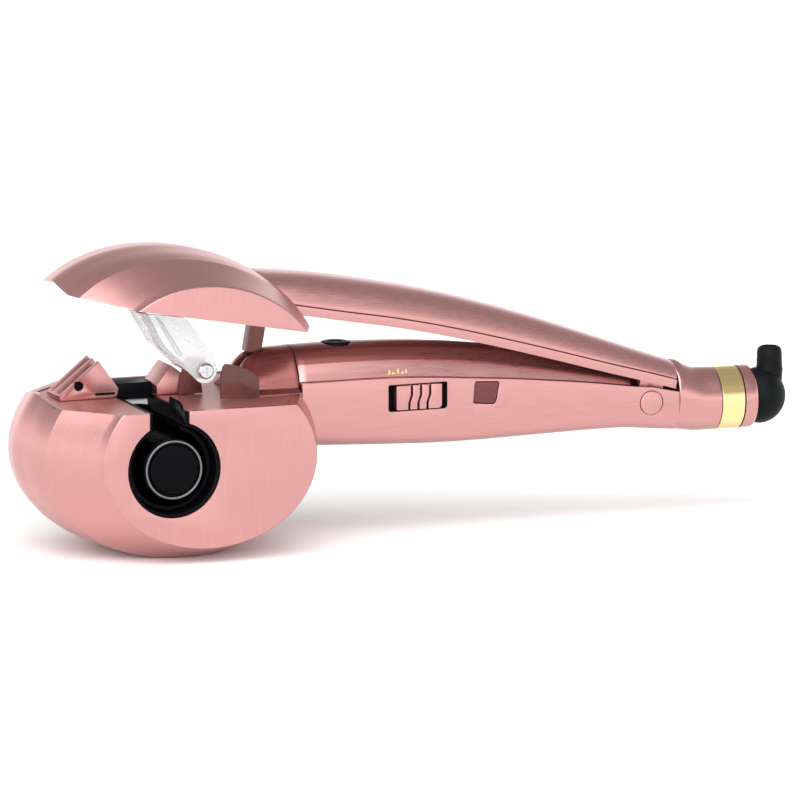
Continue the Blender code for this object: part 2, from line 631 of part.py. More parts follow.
def build_lever():
    shell_start = LEVER_BAND + GAP
    shell = wall_between(lever_rows(0.0, shell_start), lever_rows(LEVER_WALL, shell_start))
    add_part("lever_shell", shell, ROSE, LEVER)
    outer, inner = [], []
    skin_out = LEVER_WALL + GAP
    skin_in = skin_out + LEVER_FRAME_WALL
    for x, width, top, edge in LEVER_SECTIONS:
        out = dome(width - skin_out, edge, top - skin_out, LEVER_BAND)
        outer.append([(x, -width, edge), (x, -width, edge + LEVER_BAND)]
                     + [(x, y, z) for y, z in out]
                     + [(x, width, edge + LEVER_BAND), (x, width, edge)])
        low = width - skin_in
        skin = dome(low, edge, top - skin_in, LEVER_BAND)
        inner.append([(x, -low, edge), (x, -low, edge + LEVER_BAND * 0.5)]
                     + [(x, y, z) for y, z in skin]
                     + [(x, low, edge + LEVER_BAND * 0.5), (x, low, edge)])
    frame = add_part("lever_frame", wall_between(outer, inner), ROSE, LEVER)
    hx, hz = HINGE
    lug = [(hx - 4.6, 20.0)] + arc(HINGE, 4.6, 180, 360, 10) + [(hx + 4.6, 20.0)]
    join(frame,
         ("tongue", box((22.0, 37.2), (-8.0, 8.0), (33.2, 34.9))),
         ("lug_front", plate_xz(lug, (-9.2, -6.4))),
         ("lug_rear", plate_xz(lug, (6.4, 9.2))),
         ("lug_bridge", box((hx - 4.6, hx + 4.6), (-9.0, 9.0), (17.0, 20.4))))
    cut(frame,
        ("pin_bore", rod("y", (-12, 12), HINGE_PIN_R + RUNNING_GAP, at=HINGE, segments=24)),
        ("lid_screw_holes", box((28.0, 31.4), (-5.7, 5.7), (30, 36))))
    x0, x1, z0, z1 = POST
    add_part("latch_post", rounded_box((x0, x1), (-2.8, 2.8), (z0, z1), 0.5, 1), BROWN, LEVER)
    for side, name in ((-1, "lid_screw_front"), (1, "lid_screw_rear")):
        head = [(31.4, 0.0), (31.4, 2.4), (32.9, 2.4), (32.9, 1.2), (35.4, 1.2), (35.4, 0.0)]
        add_part(name, turned("z", head, (29.7, side * 4.0), 16, ring=False), STEEL, LEVER)


# ---------------------------------------------------------------- handle

def side_profile(width, seam, bottom):
    """Half of the lower handle's section as (Y, Z), from the bottom middle up to the seam."""
    crease = bottom + 9.2
    return [(0.0, bottom), (0.45 * width, bottom + 0.5), (0.72 * width, bottom + 2.2),
            (0.88 * width, bottom + 4.6), (0.965 * width, crease - 1.6), (width, crease + 0.6),
            (width, (crease + seam) / 2 + 1.0), (width - 0.1, seam)]


def inset_profile(points, wall):
    """The section's inner skin: moved in from the side and up from the bottom."""
    inner = []
    for y, z in points:
        share = min(1.0, y / points[-1][0])
        inner.append((max(0.0, y - wall * share), z + wall * (1.0 - share ** 3) if z < points[-1][1] else z))
    return inner


def handle_half(side):
    outer, inner = [], []
    for x, width, _, seam, bottom in HANDLE_SECTIONS:
        profile = side_profile(width, seam, bottom)
        skin = inset_profile(profile, HANDLE_WALL)
        shift = GAP / 2
        outer.append([(x, side * (y + (shift if i == 0 else 0.0)), z) for i, (y, z) in enumerate(profile)])
        inner.append([(x, side * (y + (shift if i == 0 else 0.0)), z) for i, (y, z) in enumerate(skin)])
    return wall_between(outer, inner)


def build_handle():
    front = add_part("handle_front_shell", handle_half(-1), ROSE)
    rear = add_part("handle_rear_shell", handle_half(1), ROSE)
    x0, x1, z0, z1 = SWITCH_OPENING
    for shell, side in ((front, -1), (rear, 1)):
        join(shell, ("hinge_boss", rod("y", sorted((side * 9.9, side * 11.6)), 5.6, at=HINGE, segments=32)))
        cut(shell,
            ("hinge_bore", rod("y", sorted((side * 9.0, side * 14.0)), HINGE_PIN_R + RUNNING_GAP, at=HINGE,
                               segments=24)),
            ("cap_seat", rod("y", sorted((side * 11.0, side * 14.0)), 4.6, at=HINGE, segments=32)))
    cut(front, ("switch_opening", box((x0, x1), (-20, -12), (z0, z1))),
        ("window_opening", plate_xz(WINDOW, (-20, -11))))
    join(front, *[("boss_%d" % i, tube("y", (-10.5 + 1.5 * i, 4.0), 2.8, 1.3, at=place, segments=16))
                  for i, place in enumerate(CASE_SCREWS)])
    cut(rear, *[("screw_hole_%d" % i, rod("y", (0.2, 20.0), 3.1, at=place, segments=24))
                for i, place in enumerate(CASE_SCREWS)])
    build_top_shell()
    build_hinge()
    build_controls()


def flanked(x, flange, section):
    """A section at x with the flange's (Y, Z) points on both sides of it."""
    near = [(x, -y, z) for y, z in flange]
    far = [(x, y, z) for y, z in reversed(flange)]
    return near + [(x, y, z) for y, z in section] + far


def build_top_shell():
    rows_out, rows_in = [], []
    stations = [row for row in HANDLE_SECTIONS if row[0] < TOP_SHELL_END_X]
    stations.append((TOP_SHELL_END_X,) + interpolate(HANDLE_SECTIONS, TOP_SHELL_END_X))
    for x, width, top, seam, _ in stations:
        base, lip = seam + 0.2, width - HANDLE_WALL - 0.4
        flange = ((lip, seam - 0.8), (lip, seam - 0.1))
        inner_flange = ((lip - 1.4, seam - 0.8), (lip - 1.9, seam - 0.3))
        rows_out.append(flanked(x, flange, ridge(width - TOP_SHELL_INSET, base, top)))
        rows_in.append(flanked(x, inner_flange, ridge(width - TOP_SHELL_INSET - 1.4, base, top - 1.4)))
    shell = add_part("handle_top_shell", wall_between(rows_out, rows_in), ROSE)
    cut(shell, ("bumper_hole", rod("z", (30, 40), BUMPER_R + GAP, at=(BUMPER_X, 0.0), segments=32)))
    top = interpolate(HANDLE_SECTIONS, BUMPER_X)[1]
    bumper = [(top - 1.4, 0.0), (top - 1.4, BUMPER_R), (top - 0.1, BUMPER_R), (top + 0.15, BUMPER_R - 0.5),
              (top + 0.15, 0.0)]
    add_part("lid_bumper", turned("z", bumper, (BUMPER_X, 0.0), 32, ring=False), BLACK)


def build_hinge():
    add_part("hinge_pin", rod("y", (-10.7, 10.7), HINGE_PIN_R, at=HINGE, segments=24), STEEL)
    for side, name in ((-1, "hinge_cap_front"), (1, "hinge_cap_rear")):
        profile = [(side * 11.05, 0.0), (side * 11.05, 4.3), (side * 12.0, 4.3), (side * 12.25, 4.0),
                   (side * 12.25, 0.0)]
        add_part(name, turned("y", profile, HINGE, 32, ring=False), ROSE)
    hx, hz = HINGE
    turns, per_turn, coil_r, wire_r = 3, 12, 3.3, 0.4
    points = []
    for step in range(turns * per_turn + 1):
        turn = 2 * pi * step / per_turn
        points.append((hx + coil_r * cos(turn), -4.0 + 8.0 * step / (turns * per_turn), hz + coil_r * sin(turn)))
    start = (points[0][0] - 1.0, points[0][1], hz - 7.5)
    end = (hx - 14.0, points[-1][1], hz - 4.0)
    wire = add_wire("lever_spring", [start] + points + [(hx, points[-1][1], hz - coil_r), end], wire_r, STEEL)
    return wire


def add_wire(name, points, radius, look):
    """A round wire through the points, as a curve with filled caps."""
    curve = bpy.data.curves.new(name, "CURVE")
    curve.dimensions = "3D"
    curve.bevel_depth = radius * MM
    curve.bevel_resolution = 2
    curve.use_fill_caps = True
    spline = curve.splines.new("POLY")
    spline.points.add(len(points) - 1)
    for point, place in zip(spline.points, points):
        point.co = (*(Vector(place) * MM), 1.0)
    curve.materials.append(material(name, look))
    wire = bpy.data.objects.new(name, curve)
    parts.objects.link(wire)
    wire.parent = pivots[HEAD]
    return wire


def build_controls():
    x0, x1, z0, z1 = SWITCH_OPENING
    plate_y = -interpolate(HANDLE_SECTIONS, 100.0)[0] + 2.8
    add_part("switch_plate", box((x0 - 2.5, x1 + 2.5), (plate_y, plate_y + 1.0), (z0 - 1.6, z1 - 0.2)), BLACK)
    kx0, kx1, kz0, kz1 = KNOB
    knob = add_part("switch_knob", rounded_box((kx0, kx1), (plate_y - 3.3, plate_y - GAP), (kz0, kz1), 0.5, 1),
                    ROSE, KNOB_SLIDE)
    cut(knob, *[("groove_%d" % i, box((x - 0.45, x + 0.45), (plate_y - 4, plate_y - 2.7), (kz0 + 1.2, kz1 - 1.2)))
                for i, x in enumerate((97.0, 101.3, 105.6))])
    add_part("switch_body", rounded_box((92.0, 110.0), (plate_y + 1.3, plate_y + 7.5), (12.3, 18.8), 0.4, 1), BLACK)
    width = interpolate(HANDLE_SECTIONS, 128.0)[0]
    lens = [(122.8, 13.3), (131.3, 12.55), (132.65, 20.3), (123.45, 20.9)]
    add_part("indicator_lens", plate_xz(lens, (-width + 0.1, -width + 2.0)), BURGUNDY)
    board_z = (9.9, 11.5)
    board = add_part("main_board", box((72.0, 150.0), (-9.0, 9.0), board_z), GREEN_BOARD)
    cut(board, ("corner", box((86.0, 114.0), (-10, -5.4), (9, 12))))
    top = board_z[1] + GAP
    add_part("indicator_led", rounded_box((126.0, 130.0), (-9.0, -5.5), (top, top + 4.0), 0.5), WHITE_PLASTIC)
    add_part("buzzer", turned("z", [(top, 0.0), (top, 5.0), (top + 5.5, 5.0), (top + 5.5, 1.0), (top + 4.5, 1.0),
                                    (top + 4.5, 0.0)], (140.0, 0.0), 24, ring=False), BLACK)
    for i, (x, z) in enumerate(CASE_SCREWS):
        start = -8.0
        width = interpolate(HANDLE_SECTIONS, x)[0]
        head_y = 8.5
        screw = [(start, 0.0), (start, 1.1), (head_y, 1.1), (head_y, 2.4), (head_y + 1.8, 2.4), (head_y + 1.8, 0.0)]
        add_part("case_screw_%d" % (i + 1), turned("y", screw, (x, z), 16, ring=False), STEEL)


def build_collar():
    outline = []
    for x, width, top in COLLAR_SECTIONS:
        half = NECK_HALF_Y
        outline.append([(x, -half, 21.2)]
                       + [(x, y, z) for y, z in ridge(width - TOP_SHELL_INSET - 0.2, 22.6, top)]
                       + [(x, half, 21.2), (x, half, 2.6), (x, half - 2.4, NECK_Z), (x, 0.0, NECK_Z),
                          (x, 2.4 - half, NECK_Z), (x, -half, 2.6)])
    collar = add_part("neck_collar", loft(outline), BROWN)
    floor = WELL_FLOOR_Z
    cut(collar,
        ("well", box(WELL_X, (-WELL_HALF_Y, WELL_HALF_Y), (floor, 50))),
        ("switch_room", box((35.9, 60), (-4.0, 4.0), (-0.4, floor + 0.01))),
        ("wire_room", box((49.0, 60), (-13.0, 13.0), (3.0, 20.0))))
    body = add_part("microswitch", box((36.3, 49.0), (-3.4, 3.4), (0.0, 5.6)), BLACK)
    cut(body, ("plunger_hole", rod("z", (1.9, 9.0), 1.4, at=(40.2, 0.0), segments=16)))
    add_part("switch_plunger", rod("z", (3.6, 8.9), 1.2, at=(40.2, 0.0), segments=16), WHITE_PLASTIC, PLUNGER)


# ---------------------------------------------------------------- tail

def tail_section(x, half_y, top, bottom, steps=32):
    """A closed oval section across the tail."""
    middle, half = (top + bottom) / 2, (top - bottom) / 2
    turns = [2 * pi * i / steps for i in range(steps)]
    return [(x, half_y * sin(a), middle + half * cos(a)) for a in turns]


def build_tail():
    top, low = TAIL_Z + TAIL_R - 0.1, TAIL_Z - TAIL_R + 0.1
    sections = [tail_section(204.3, 11.9, 22.0, -3.4), tail_section(206.5, 11.9, 21.9, -3.8),
                tail_section(209.0, 11.8, 20.6, -4.2), tail_section(213.0, 11.6, 18.9, low),
                tail_section(221.0, TAIL_R - 0.1, top, low)]
    sleeve = add_part("tail_sleeve", loft(sections), ROSE)
    cut(sleeve, ("core", rod("x", (200, 225), 9.0, at=(0.0, TAIL_Z), segments=32)))
    axis = (0.0, TAIL_Z)
    ring = ((RING_X[0], TAIL_R), (RING_X[1], TAIL_R), (RING_X[1], 9.0), (RING_X[0], 9.0))
    add_part("gold_ring", turned("x", ring, axis), GOLD)
    start = RING_X[1] + GAP
    cap = ((start, TAIL_R), (CAP_END_X - 1.2, TAIL_R), (CAP_END_X - 0.3, TAIL_R - 0.4),
           (CAP_END_X, TAIL_R - 1.3), (CAP_END_X, SWIVEL_BORE_R), (start, SWIVEL_BORE_R))
    add_part("tail_end_cap", turned("x", cap, axis), ROSE)
    build_swivel()


def build_swivel():
    """The cord's elbow: a neck in the tail, a domed body and a spout that points up."""
    axis = (0.0, TAIL_Z)
    start = RING_X[1] - 3.6
    body = [(start, 0.0), (start, 6.0), (CAP_END_X + GAP, 6.0), (CAP_END_X + GAP, 9.8)]
    body += [(239.2 + 10.0 * sin(a), 10.3 * cos(a)) for a in [radians(15 * i) for i in range(6)]]
    body += [(249.2, 0.0)]
    elbow = add_part("swivel_elbow", turned("x", body, axis, 32, ring=False), BLACK, SWIVEL)
    spout = [(4.0, 0.0), (4.0, 4.6), (15.6, 4.6), (17.2, 4.3), (17.9, 3.6), (17.9, 0.0)]
    spout = [(TAIL_Z + along, radius) for along, radius in spout]
    join(elbow, ("spout", turned("z", spout, (243.6, 0.0), 24, ring=False)))
    cut(elbow,
        ("cord_bore", rod("z", (TAIL_Z, 40), 3.05, at=(243.6, 0.0), segments=20)),
        ("wire_bore", rod("x", (200, 243.0), 2.8, at=axis, segments=20)))
    keeper = tube("x", (start - 2.3, start - GAP), 8.2, 3.0, at=axis, segments=32)
    add_part("swivel_retainer", keeper, STEEL, SWIVEL)


# ---------------------------------------------------------------- whole object

clear_scene()
parts = make_collection("automatic_hair_curler")
cutters = make_collection("cutters")
make_pivot(HEAD)
make_pivot(LEVER, (HINGE[0], 0.0, HINGE[1]), (0.0, radians(OPEN_ANGLE), 0.0))
make_pivot(ROTOR)
make_pivot(IDLER, (idler_centre()[0], 0.0, idler_centre()[1]))
make_pivot(MOTOR, (MOTOR_AT[0], 0.0, MOTOR_AT[1]))
make_pivot(KNOB_SLIDE)
make_pivot(SWIVEL, (0.0, 0.0, TAIL_Z))
make_pivot(PLUNGER)
make_pivot(CLEAR, (GUIDE_PIVOT[0], 0.0, GUIDE_PIVOT[1]))

build_head_shell()
build_rear_cover()
build_deck()
build_chamber()
build_barrel()
build_rotor()
build_gears()
build_motor()
build_chassis()
build_guides()
build_clear_guide()
build_lid()
build_lever()
build_handle()
build_collar()
build_tail()
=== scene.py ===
import json
from math import asin, cos, pi, radians, sin

import bmesh
import bpy
from mathutils import Matrix, Vector


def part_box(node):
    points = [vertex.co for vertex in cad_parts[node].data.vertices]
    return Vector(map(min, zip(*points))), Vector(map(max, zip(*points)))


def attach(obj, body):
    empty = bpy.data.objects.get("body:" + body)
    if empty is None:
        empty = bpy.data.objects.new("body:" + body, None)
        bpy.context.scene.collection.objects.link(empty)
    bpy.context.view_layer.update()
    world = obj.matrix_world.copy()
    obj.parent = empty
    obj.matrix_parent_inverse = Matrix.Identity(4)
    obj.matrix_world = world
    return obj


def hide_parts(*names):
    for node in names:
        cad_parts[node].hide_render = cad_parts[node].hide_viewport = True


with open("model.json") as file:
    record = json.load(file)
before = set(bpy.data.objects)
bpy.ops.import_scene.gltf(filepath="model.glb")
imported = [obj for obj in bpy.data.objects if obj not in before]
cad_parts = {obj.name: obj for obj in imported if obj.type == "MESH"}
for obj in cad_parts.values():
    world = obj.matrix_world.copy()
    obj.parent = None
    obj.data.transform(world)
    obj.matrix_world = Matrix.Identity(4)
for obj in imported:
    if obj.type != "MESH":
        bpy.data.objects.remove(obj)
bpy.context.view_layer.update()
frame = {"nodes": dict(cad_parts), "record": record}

# Automatic hair curler with its jaw open: fine surfaces over the fixed frame, materials,
# floor, light and camera. Shapes are written in millimetres from the barrel axis, as in the
# frame's own part; the jaw is drawn closed and then turned open about the hinge pin.
MM = 0.001
OPEN_ANGLE = radians(10.0)
BODY_OF = {node: body for body, nodes in frame["record"]["behaviour"]["bodies"].items() for node in nodes}
SLOT_OF = {part["node"]: part["material_slot"] for part in frame["record"]["subparts"]}


def middle(node):
    low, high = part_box(node)
    return (low + high) / 2


barrel_middle = middle("barrel")
AXIS = Vector((barrel_middle.x, 0.0, barrel_middle.z))      # the barrel axis in the frame
PIN = middle("hinge_pin")

GAP = 0.3                                       # between neighbouring pieces
# Head: (distance from the middle plane, centre X, centre Z, half length, half height).
HEAD_CROWN = ((-7.0, 8.1, 3.3, 55.0, 39.1), (0.0, 7.7, 3.5, 55.8, 39.4), (7.0, 8.1, 3.3, 55.0, 39.1),
              (14.0, 8.5, 2.9, 53.8, 38.9), (20.0, 9.2, 2.5, 51.6, 38.3))
HEAD_FLANK = ((20.0, 9.2, 2.5, 51.6, 38.3), (29.0, 11.7, 2.5, 46.0, 34.9), (37.4, 13.9, 2.5, 40.8, 32.2))
HEAD_HALF = 38.4
CREASE_Y = 20.0
RIM_Z, RIM_TIP_Z = 21.0, 24.5
HEAD_WALL, LID_WALL = 2.2, 1.8
FOOT_Z = -35.3
LID_GAP = 0.8
REAR_COVER_AT, REAR_COVER_R = (14.0, -1.0), 20.4
SLOT_X = (-9.0, 5.5)
CHAMBER_R = 17.3
CHAMBER_FRONT_Y, CHAMBER_FLOOR_Y = -37.6, 3.5
BARREL_R, BARREL_FRONT_Y, BARREL_REAR_Y = 11.25, -37.3, -1.0
ROTOR_R = 15.7
GUIDE_Y = (-2.0, 12.7)
GUIDE_EYE_AT = (-23.7, 25.9)
GUIDE_PIVOT = (18.5, 31.9)
CLEAR_GUIDE_Y = (-19.0, -4.0)
HINGE = (193.0, 8.5)
HINGE_BORE_R, HINGE_CAP_R = 2.09, 4.6

# Handle: (X, half width, top of the inner shell, seam, bottom).
HANDLE = (
    (56.5, 17.0, 36.0, 24.4, -0.2), (70.0, 17.0, 36.2, 24.4, -0.8), (85.0, 16.8, 36.0, 24.4, -1.5),
    (100.0, 16.4, 35.4, 23.9, -2.1), (113.0, 15.9, 34.4, 23.0, -2.5), (125.0, 15.4, 33.1, 22.0, -2.5),
    (140.0, 14.7, 31.0, 20.7, -2.2), (155.0, 13.8, 28.4, 19.0, -1.9), (170.0, 13.0, 25.4, 17.2, -1.6),
    (186.0, 12.3, 21.8, 14.9, -1.7), (194.0, 12.1, 20.2, 13.9, -2.5), (204.0, 11.9, 18.5, 11.8, -3.4))
HANDLE_WALL = 1.6
TOP_INSET = 3.1
TOP_SHELL_END_X = 187.8
# Lever, closed: (X, half width, top, lower edge).
LEVER = (
    (36.0, 16.2, 37.6, 25.2), (46.0, 16.8, 38.5, 25.2), (56.5, 17.0, 39.1, 25.1), (70.0, 17.0, 39.3, 25.0),
    (85.0, 16.8, 39.1, 25.0), (100.0, 16.4, 38.5, 24.5), (113.0, 15.9, 37.5, 23.7), (125.0, 15.4, 36.2, 22.7),
    (140.0, 14.7, 34.2, 21.3), (155.0, 13.8, 31.8, 19.7), (170.0, 13.0, 29.2, 18.0), (186.0, 12.3, 26.3, 16.4),
    (194.0, 12.1, 24.9, 15.6), (201.5, 12.0, 23.7, 14.7))
LEVER_WALL = 1.3
LEVER_BAND = 3.2
DOME_POWER = 2.6
SWITCH_OPENING = (89.5, 112.5, 12.0, 21.9)      # X from, X to, Z from, Z to
KNOB = (92.6, 110.1, 12.5, 21.4)
MARK_Z = 25.1
WINDOW = ((122.5, 13.0), (131.5, 12.2), (133.0, 20.6), (123.2, 21.2))
BUMPER_X, BUMPER_R = 75.0, 5.3
TAIL_Z, TAIL_R = 6.7, 11.6
RING_X = (221.3, 230.0)
CAP_END_X = 235.6
CASE_SCREWS = ((76.0, 4.6), (160.0, 3.8))
NECK_HALF_Y, NECK_Z = 17.0, -0.9
LINER_NOTCH_X = 34.0
ELBOW_X = 243.6
HAIR_FINGER = ((5.5, 20.0), (5.5, 21.8), (3.9, 24.6), (1.0, 27.0), (-3.2, 28.6), (-4.2, 27.2), (-0.4, 25.4),
               (2.4, 23.2), (4.2, 20.6), (4.3, 20.0))
HAIR_FINGER_Y = (-32.5, -20.2)
COLLAR = ((34.5, 16.2, 25.5), (39.0, 16.3, 32.6), (44.0, 16.5, 35.2), (56.2, 17.0, 36.0))
DECK_Z = (19.2, 20.7)


# ---------------------------------------------------------------- shapes

def smooth_row(table, x):
    """The row of a table at x, on a smooth curve through its rows."""
    last = len(table) - 1
    at = next((i for i in range(last) if x <= table[i + 1][0]), last - 1)
    low, high = table[at], table[at + 1]
    before, after = table[max(at - 1, 0)], table[min(at + 2, last)]
    span = high[0] - low[0]
    t = (x - low[0]) / span
    row = []
    for a, b, p, n in zip(low[1:], high[1:], before[1:], after[1:]):
        leave = (b - p) / (high[0] - before[0]) * span
        arrive = (n - a) / (after[0] - low[0]) * span
        row.append(a * (1 + 2 * t) * (1 - t) ** 2 + b * t * t * (3 - 2 * t)
                   + leave * t * (1 - t) ** 2 - arrive * t * t * (1 - t))
    return row


def stations(table, step):
    """Evenly spaced smooth rows along a table, with its ends."""
    first, last = table[0][0], table[-1][0]
    count = max(2, round((last - first) / step))
    places = [first + (last - first) * i / count for i in range(count + 1)]
    return [(x, *smooth_row(table, x)) for x in places]


def box(x, y, z):
    bm = bmesh.new()
    bmesh.ops.create_cube(bm, size=1.0)
    bmesh.ops.scale(bm, verts=bm.verts, vec=(x[1] - x[0], y[1] - y[0], z[1] - z[0]))
    bmesh.ops.translate(bm, verts=bm.verts, vec=((x[1] + x[0]) / 2, (y[1] + y[0]) / 2, (z[1] + z[0]) / 2))
    return bm


def rounded_bar(x, y, z, radius, steps=2):
    bm = box(x, y, z)
    bmesh.ops.bevel(bm, geom=bm.edges[:], offset=radius, segments=steps, affect="EDGES", profile=0.5)
    return bm


AXIS_TURN = {"x": Matrix.Rotation(pi / 2, 3, "Y"), "y": Matrix.Rotation(-pi / 2, 3, "X"),
             "z": Matrix.Identity(3)}


def rod(axis, span, radius, at=(0.0, 0.0), segments=96):
    bm = bmesh.new()
    bmesh.ops.create_cone(bm, cap_ends=True, segments=segments, radius1=radius, radius2=radius,
                          depth=span[1] - span[0])
    bmesh.ops.rotate(bm, verts=bm.verts, matrix=AXIS_TURN[axis])
    half = (span[0] + span[1]) / 2
    bmesh.ops.translate(bm, verts=bm.verts,
                        vec={"x": (half, *at), "y": (at[0], half, at[1]), "z": (*at, half)}[axis])
    return bm


def turned(axis, profile, at=(0.0, 0.0), segments=96, ring=True):
    """Spin a profile of (distance along the axis, radius)."""
    bm = bmesh.new()
    points = [bm.verts.new((radius, 0.0, along)) for along, radius in profile]
    following = points[1:] + points[:1] if ring else points[1:]
    edges = [bm.edges.new(pair) for pair in zip(points, following)]
    bmesh.ops.spin(bm, geom=points + edges, cent=(0, 0, 0), axis=(0, 0, 1), angle=2 * pi,
                   steps=segments, use_merge=True)
    bmesh.ops.rotate(bm, verts=bm.verts, matrix=AXIS_TURN[axis])
    bmesh.ops.translate(bm, verts=bm.verts,
                        vec={"x": (0.0, *at), "y": (at[0], 0.0, at[1]), "z": (*at, 0.0)}[axis])
    return bm


def plate_xz(outline, y):
    bm = bmesh.new()
    face = bm.faces.new([bm.verts.new((x, y[0], z)) for x, z in outline])
    far = bmesh.ops.extrude_face_region(bm, geom=[face])
    moved = [item for item in far["geom"] if isinstance(item, bmesh.types.BMVert)]
    bmesh.ops.translate(bm, verts=moved, vec=(0, y[1] - y[0], 0))
    return bm


def loft(sections, closed=True):
    bm = bmesh.new()
    rows = [[bm.verts.new(point) for point in section] for section in sections]
    count = len(rows[0])
    for one, two in zip(rows, rows[1:]):
        for i in range(count if closed else count - 1):
            j = (i + 1) % count
            bm.faces.new((one[i], one[j], two[j], two[i]))
    if closed:
        bm.faces.new(rows[0])
        bm.faces.new(list(reversed(rows[-1])))
    return bm


def wall_between(outer, inner):
    """A closed wall between two skins of equal rows."""
    return loft([a + list(reversed(b)) for a, b in zip(outer, inner)])


def arc(centre, radius, start, end, steps):
    turns = [radians(start + (end - start) * i / steps) for i in range(steps + 1)]
    return [(centre[0] + radius * cos(a), centre[1] + radius * sin(a)) for a in turns]


def dome(half_width, base_z, top_z, start=0.0, steps=14):
    """Domed section as (Y, Z), from the -Y edge to the +Y edge; start trims it that far above its base."""
    first = asin((start / (top_z - base_z)) ** (DOME_POWER / 2))
    points = []
    for step in range(2 * steps + 1):
        turn = pi - first - (pi - 2 * first) * step / (2 * steps)
        c, s = cos(turn), sin(turn)
        points.append((half_width * abs(c) ** (2 / DOME_POWER) * (1 if c > 0 else -1),
                       base_z + (top_z - base_z) * abs(s) ** (2 / DOME_POWER)))
    return points


def ridge(half_width, base_z, top_z):
    """Section of the handle's top as (Y, Z): a chamfer on each side, an edge, then a shallow crown."""
    rise = top_z - base_z
    chamfer = [(half_width, base_z), (half_width - 0.5, base_z + 0.22 * rise),
               (half_width - 2.7, base_z + 0.5 * rise)]
    crown = [(half_width - 5.0, base_z + 0.74 * rise), (0.42 * half_width, base_z + 0.92 * rise)]
    cage = [chamfer[-1]] + crown + [(0.0, top_z), (-crown[1][0], crown[1][1]), (-crown[0][0], crown[0][1])]
    curve = []
    for i in range(3):
        a, b, c, d = cage[max(i - 1, 0)], cage[i], cage[i + 1], cage[i + 2]
        for k in range(4):
            t = k / 4
            curve.append(tuple(0.5 * (2 * q + (r - p) * t + (2 * p - 5 * q + 4 * r - e) * t * t
                                      + (3 * q - p - 3 * r + e) * t ** 3) for p, q, r, e in zip(a, b, c, d)))
    side = chamfer[:-1] + curve
    return [(-y, z) for y, z in side] + [(0.0, top_z)] + list(reversed(side))


def flanked(x, flange, section):
    """A section at x with the flange's (Y, Z) points on both sides of it."""
    near = [(x, -y, z) for y, z in flange]
    far = [(x, y, z) for y, z in reversed(flange)]
    return near + [(x, y, z) for y, z in section] + far


def rounded(outline, radii, steps=5):
    """An outline of points with its corners rounded; one radius for all or one for each."""
    result = []
    count = len(outline)
    for i in range(count):
        radius = radii if isinstance(radii, (int, float)) else radii[i]
        here = Vector(outline[i])
        back = (Vector(outline[i - 1]) - here)
        on = (Vector(outline[(i + 1) % count]) - here)
        reach = min(radius, back.length * 0.45, on.length * 0.45)
        if reach < 0.01:
            result.append(tuple(here))
            continue
        start, end = here + back.normalized() * reach, here + on.normalized() * reach
        for k in range(steps + 1):
            t = k / steps
            result.append(tuple(start * (1 - t) ** 2 + here * 2 * t * (1 - t) + end * t * t))
    return result


# ---------------------------------------------------------------- materials

def new_material(name, colour, roughness, metallic=0.0, **sockets):
    """A Principled material; other sockets are named with underscores for spaces."""
    made = bpy.data.materials.new(name)
    made.use_nodes = True
    shader = made.node_tree.nodes["Principled BSDF"]
    shader.inputs["Base Color"].default_value = (*colour, 1.0)
    shader.inputs["Roughness"].default_value = roughness
    shader.inputs["Metallic"].default_value = metallic
    for socket, value in sockets.items():
        shader.inputs[socket.replace("_", " ")].default_value = value
    return made


def add_grain(made, stretch, spread=0.04, depth=0.000003, tint=0.035, detail=2.0):
    """Fine surface grain: noise stretched along an axis drives colour, roughness and bump."""
    nodes, links = made.node_tree.nodes, made.node_tree.links
    shader = nodes["Principled BSDF"]
    colour = shader.inputs["Base Color"].default_value[:3]
    roughness = shader.inputs["Roughness"].default_value
    place = nodes.new("ShaderNodeTexCoord")
    mapping = nodes.new("ShaderNodeMapping")
    mapping.inputs["Scale"].default_value = stretch
    noise = nodes.new("ShaderNodeTexNoise")
    noise.inputs["Scale"].default_value = 1.0
    noise.inputs["Detail"].default_value = detail
    links.new(place.outputs["Object"], mapping.inputs["Vector"])
    links.new(mapping.outputs["Vector"], noise.inputs["Vector"])
    rough = nodes.new("ShaderNodeMapRange")
    rough.inputs["From Min"].default_value, rough.inputs["From Max"].default_value = 0.3, 0.7
    rough.inputs["To Min"].default_value = max(0.02, roughness - spread)
    rough.inputs["To Max"].default_value = roughness + spread
    links.new(noise.outputs["Fac"], rough.inputs["Value"])
    links.new(rough.outputs["Result"], shader.inputs["Roughness"])
    ramp = nodes.new("ShaderNodeValToRGB")
    ramp.color_ramp.elements[0].position, ramp.color_ramp.elements[1].position = 0.3, 0.7
    ramp.color_ramp.elements[0].color = (*[c * (1 - tint) for c in colour], 1.0)
    ramp.color_ramp.elements[1].color = (*[min(1.0, c * (1 + tint)) for c in colour], 1.0)
    links.new(noise.outputs["Fac"], ramp.inputs["Fac"])
    links.new(ramp.outputs["Color"], shader.inputs["Base Color"])
    bump = nodes.new("ShaderNodeBump")
    bump.inputs["Strength"].default_value = 0.6
    bump.inputs["Distance"].default_value = depth
    links.new(noise.outputs["Fac"], bump.inputs["Height"])
    links.new(bump.outputs["Normal"], shader.inputs["Normal"])
    return made


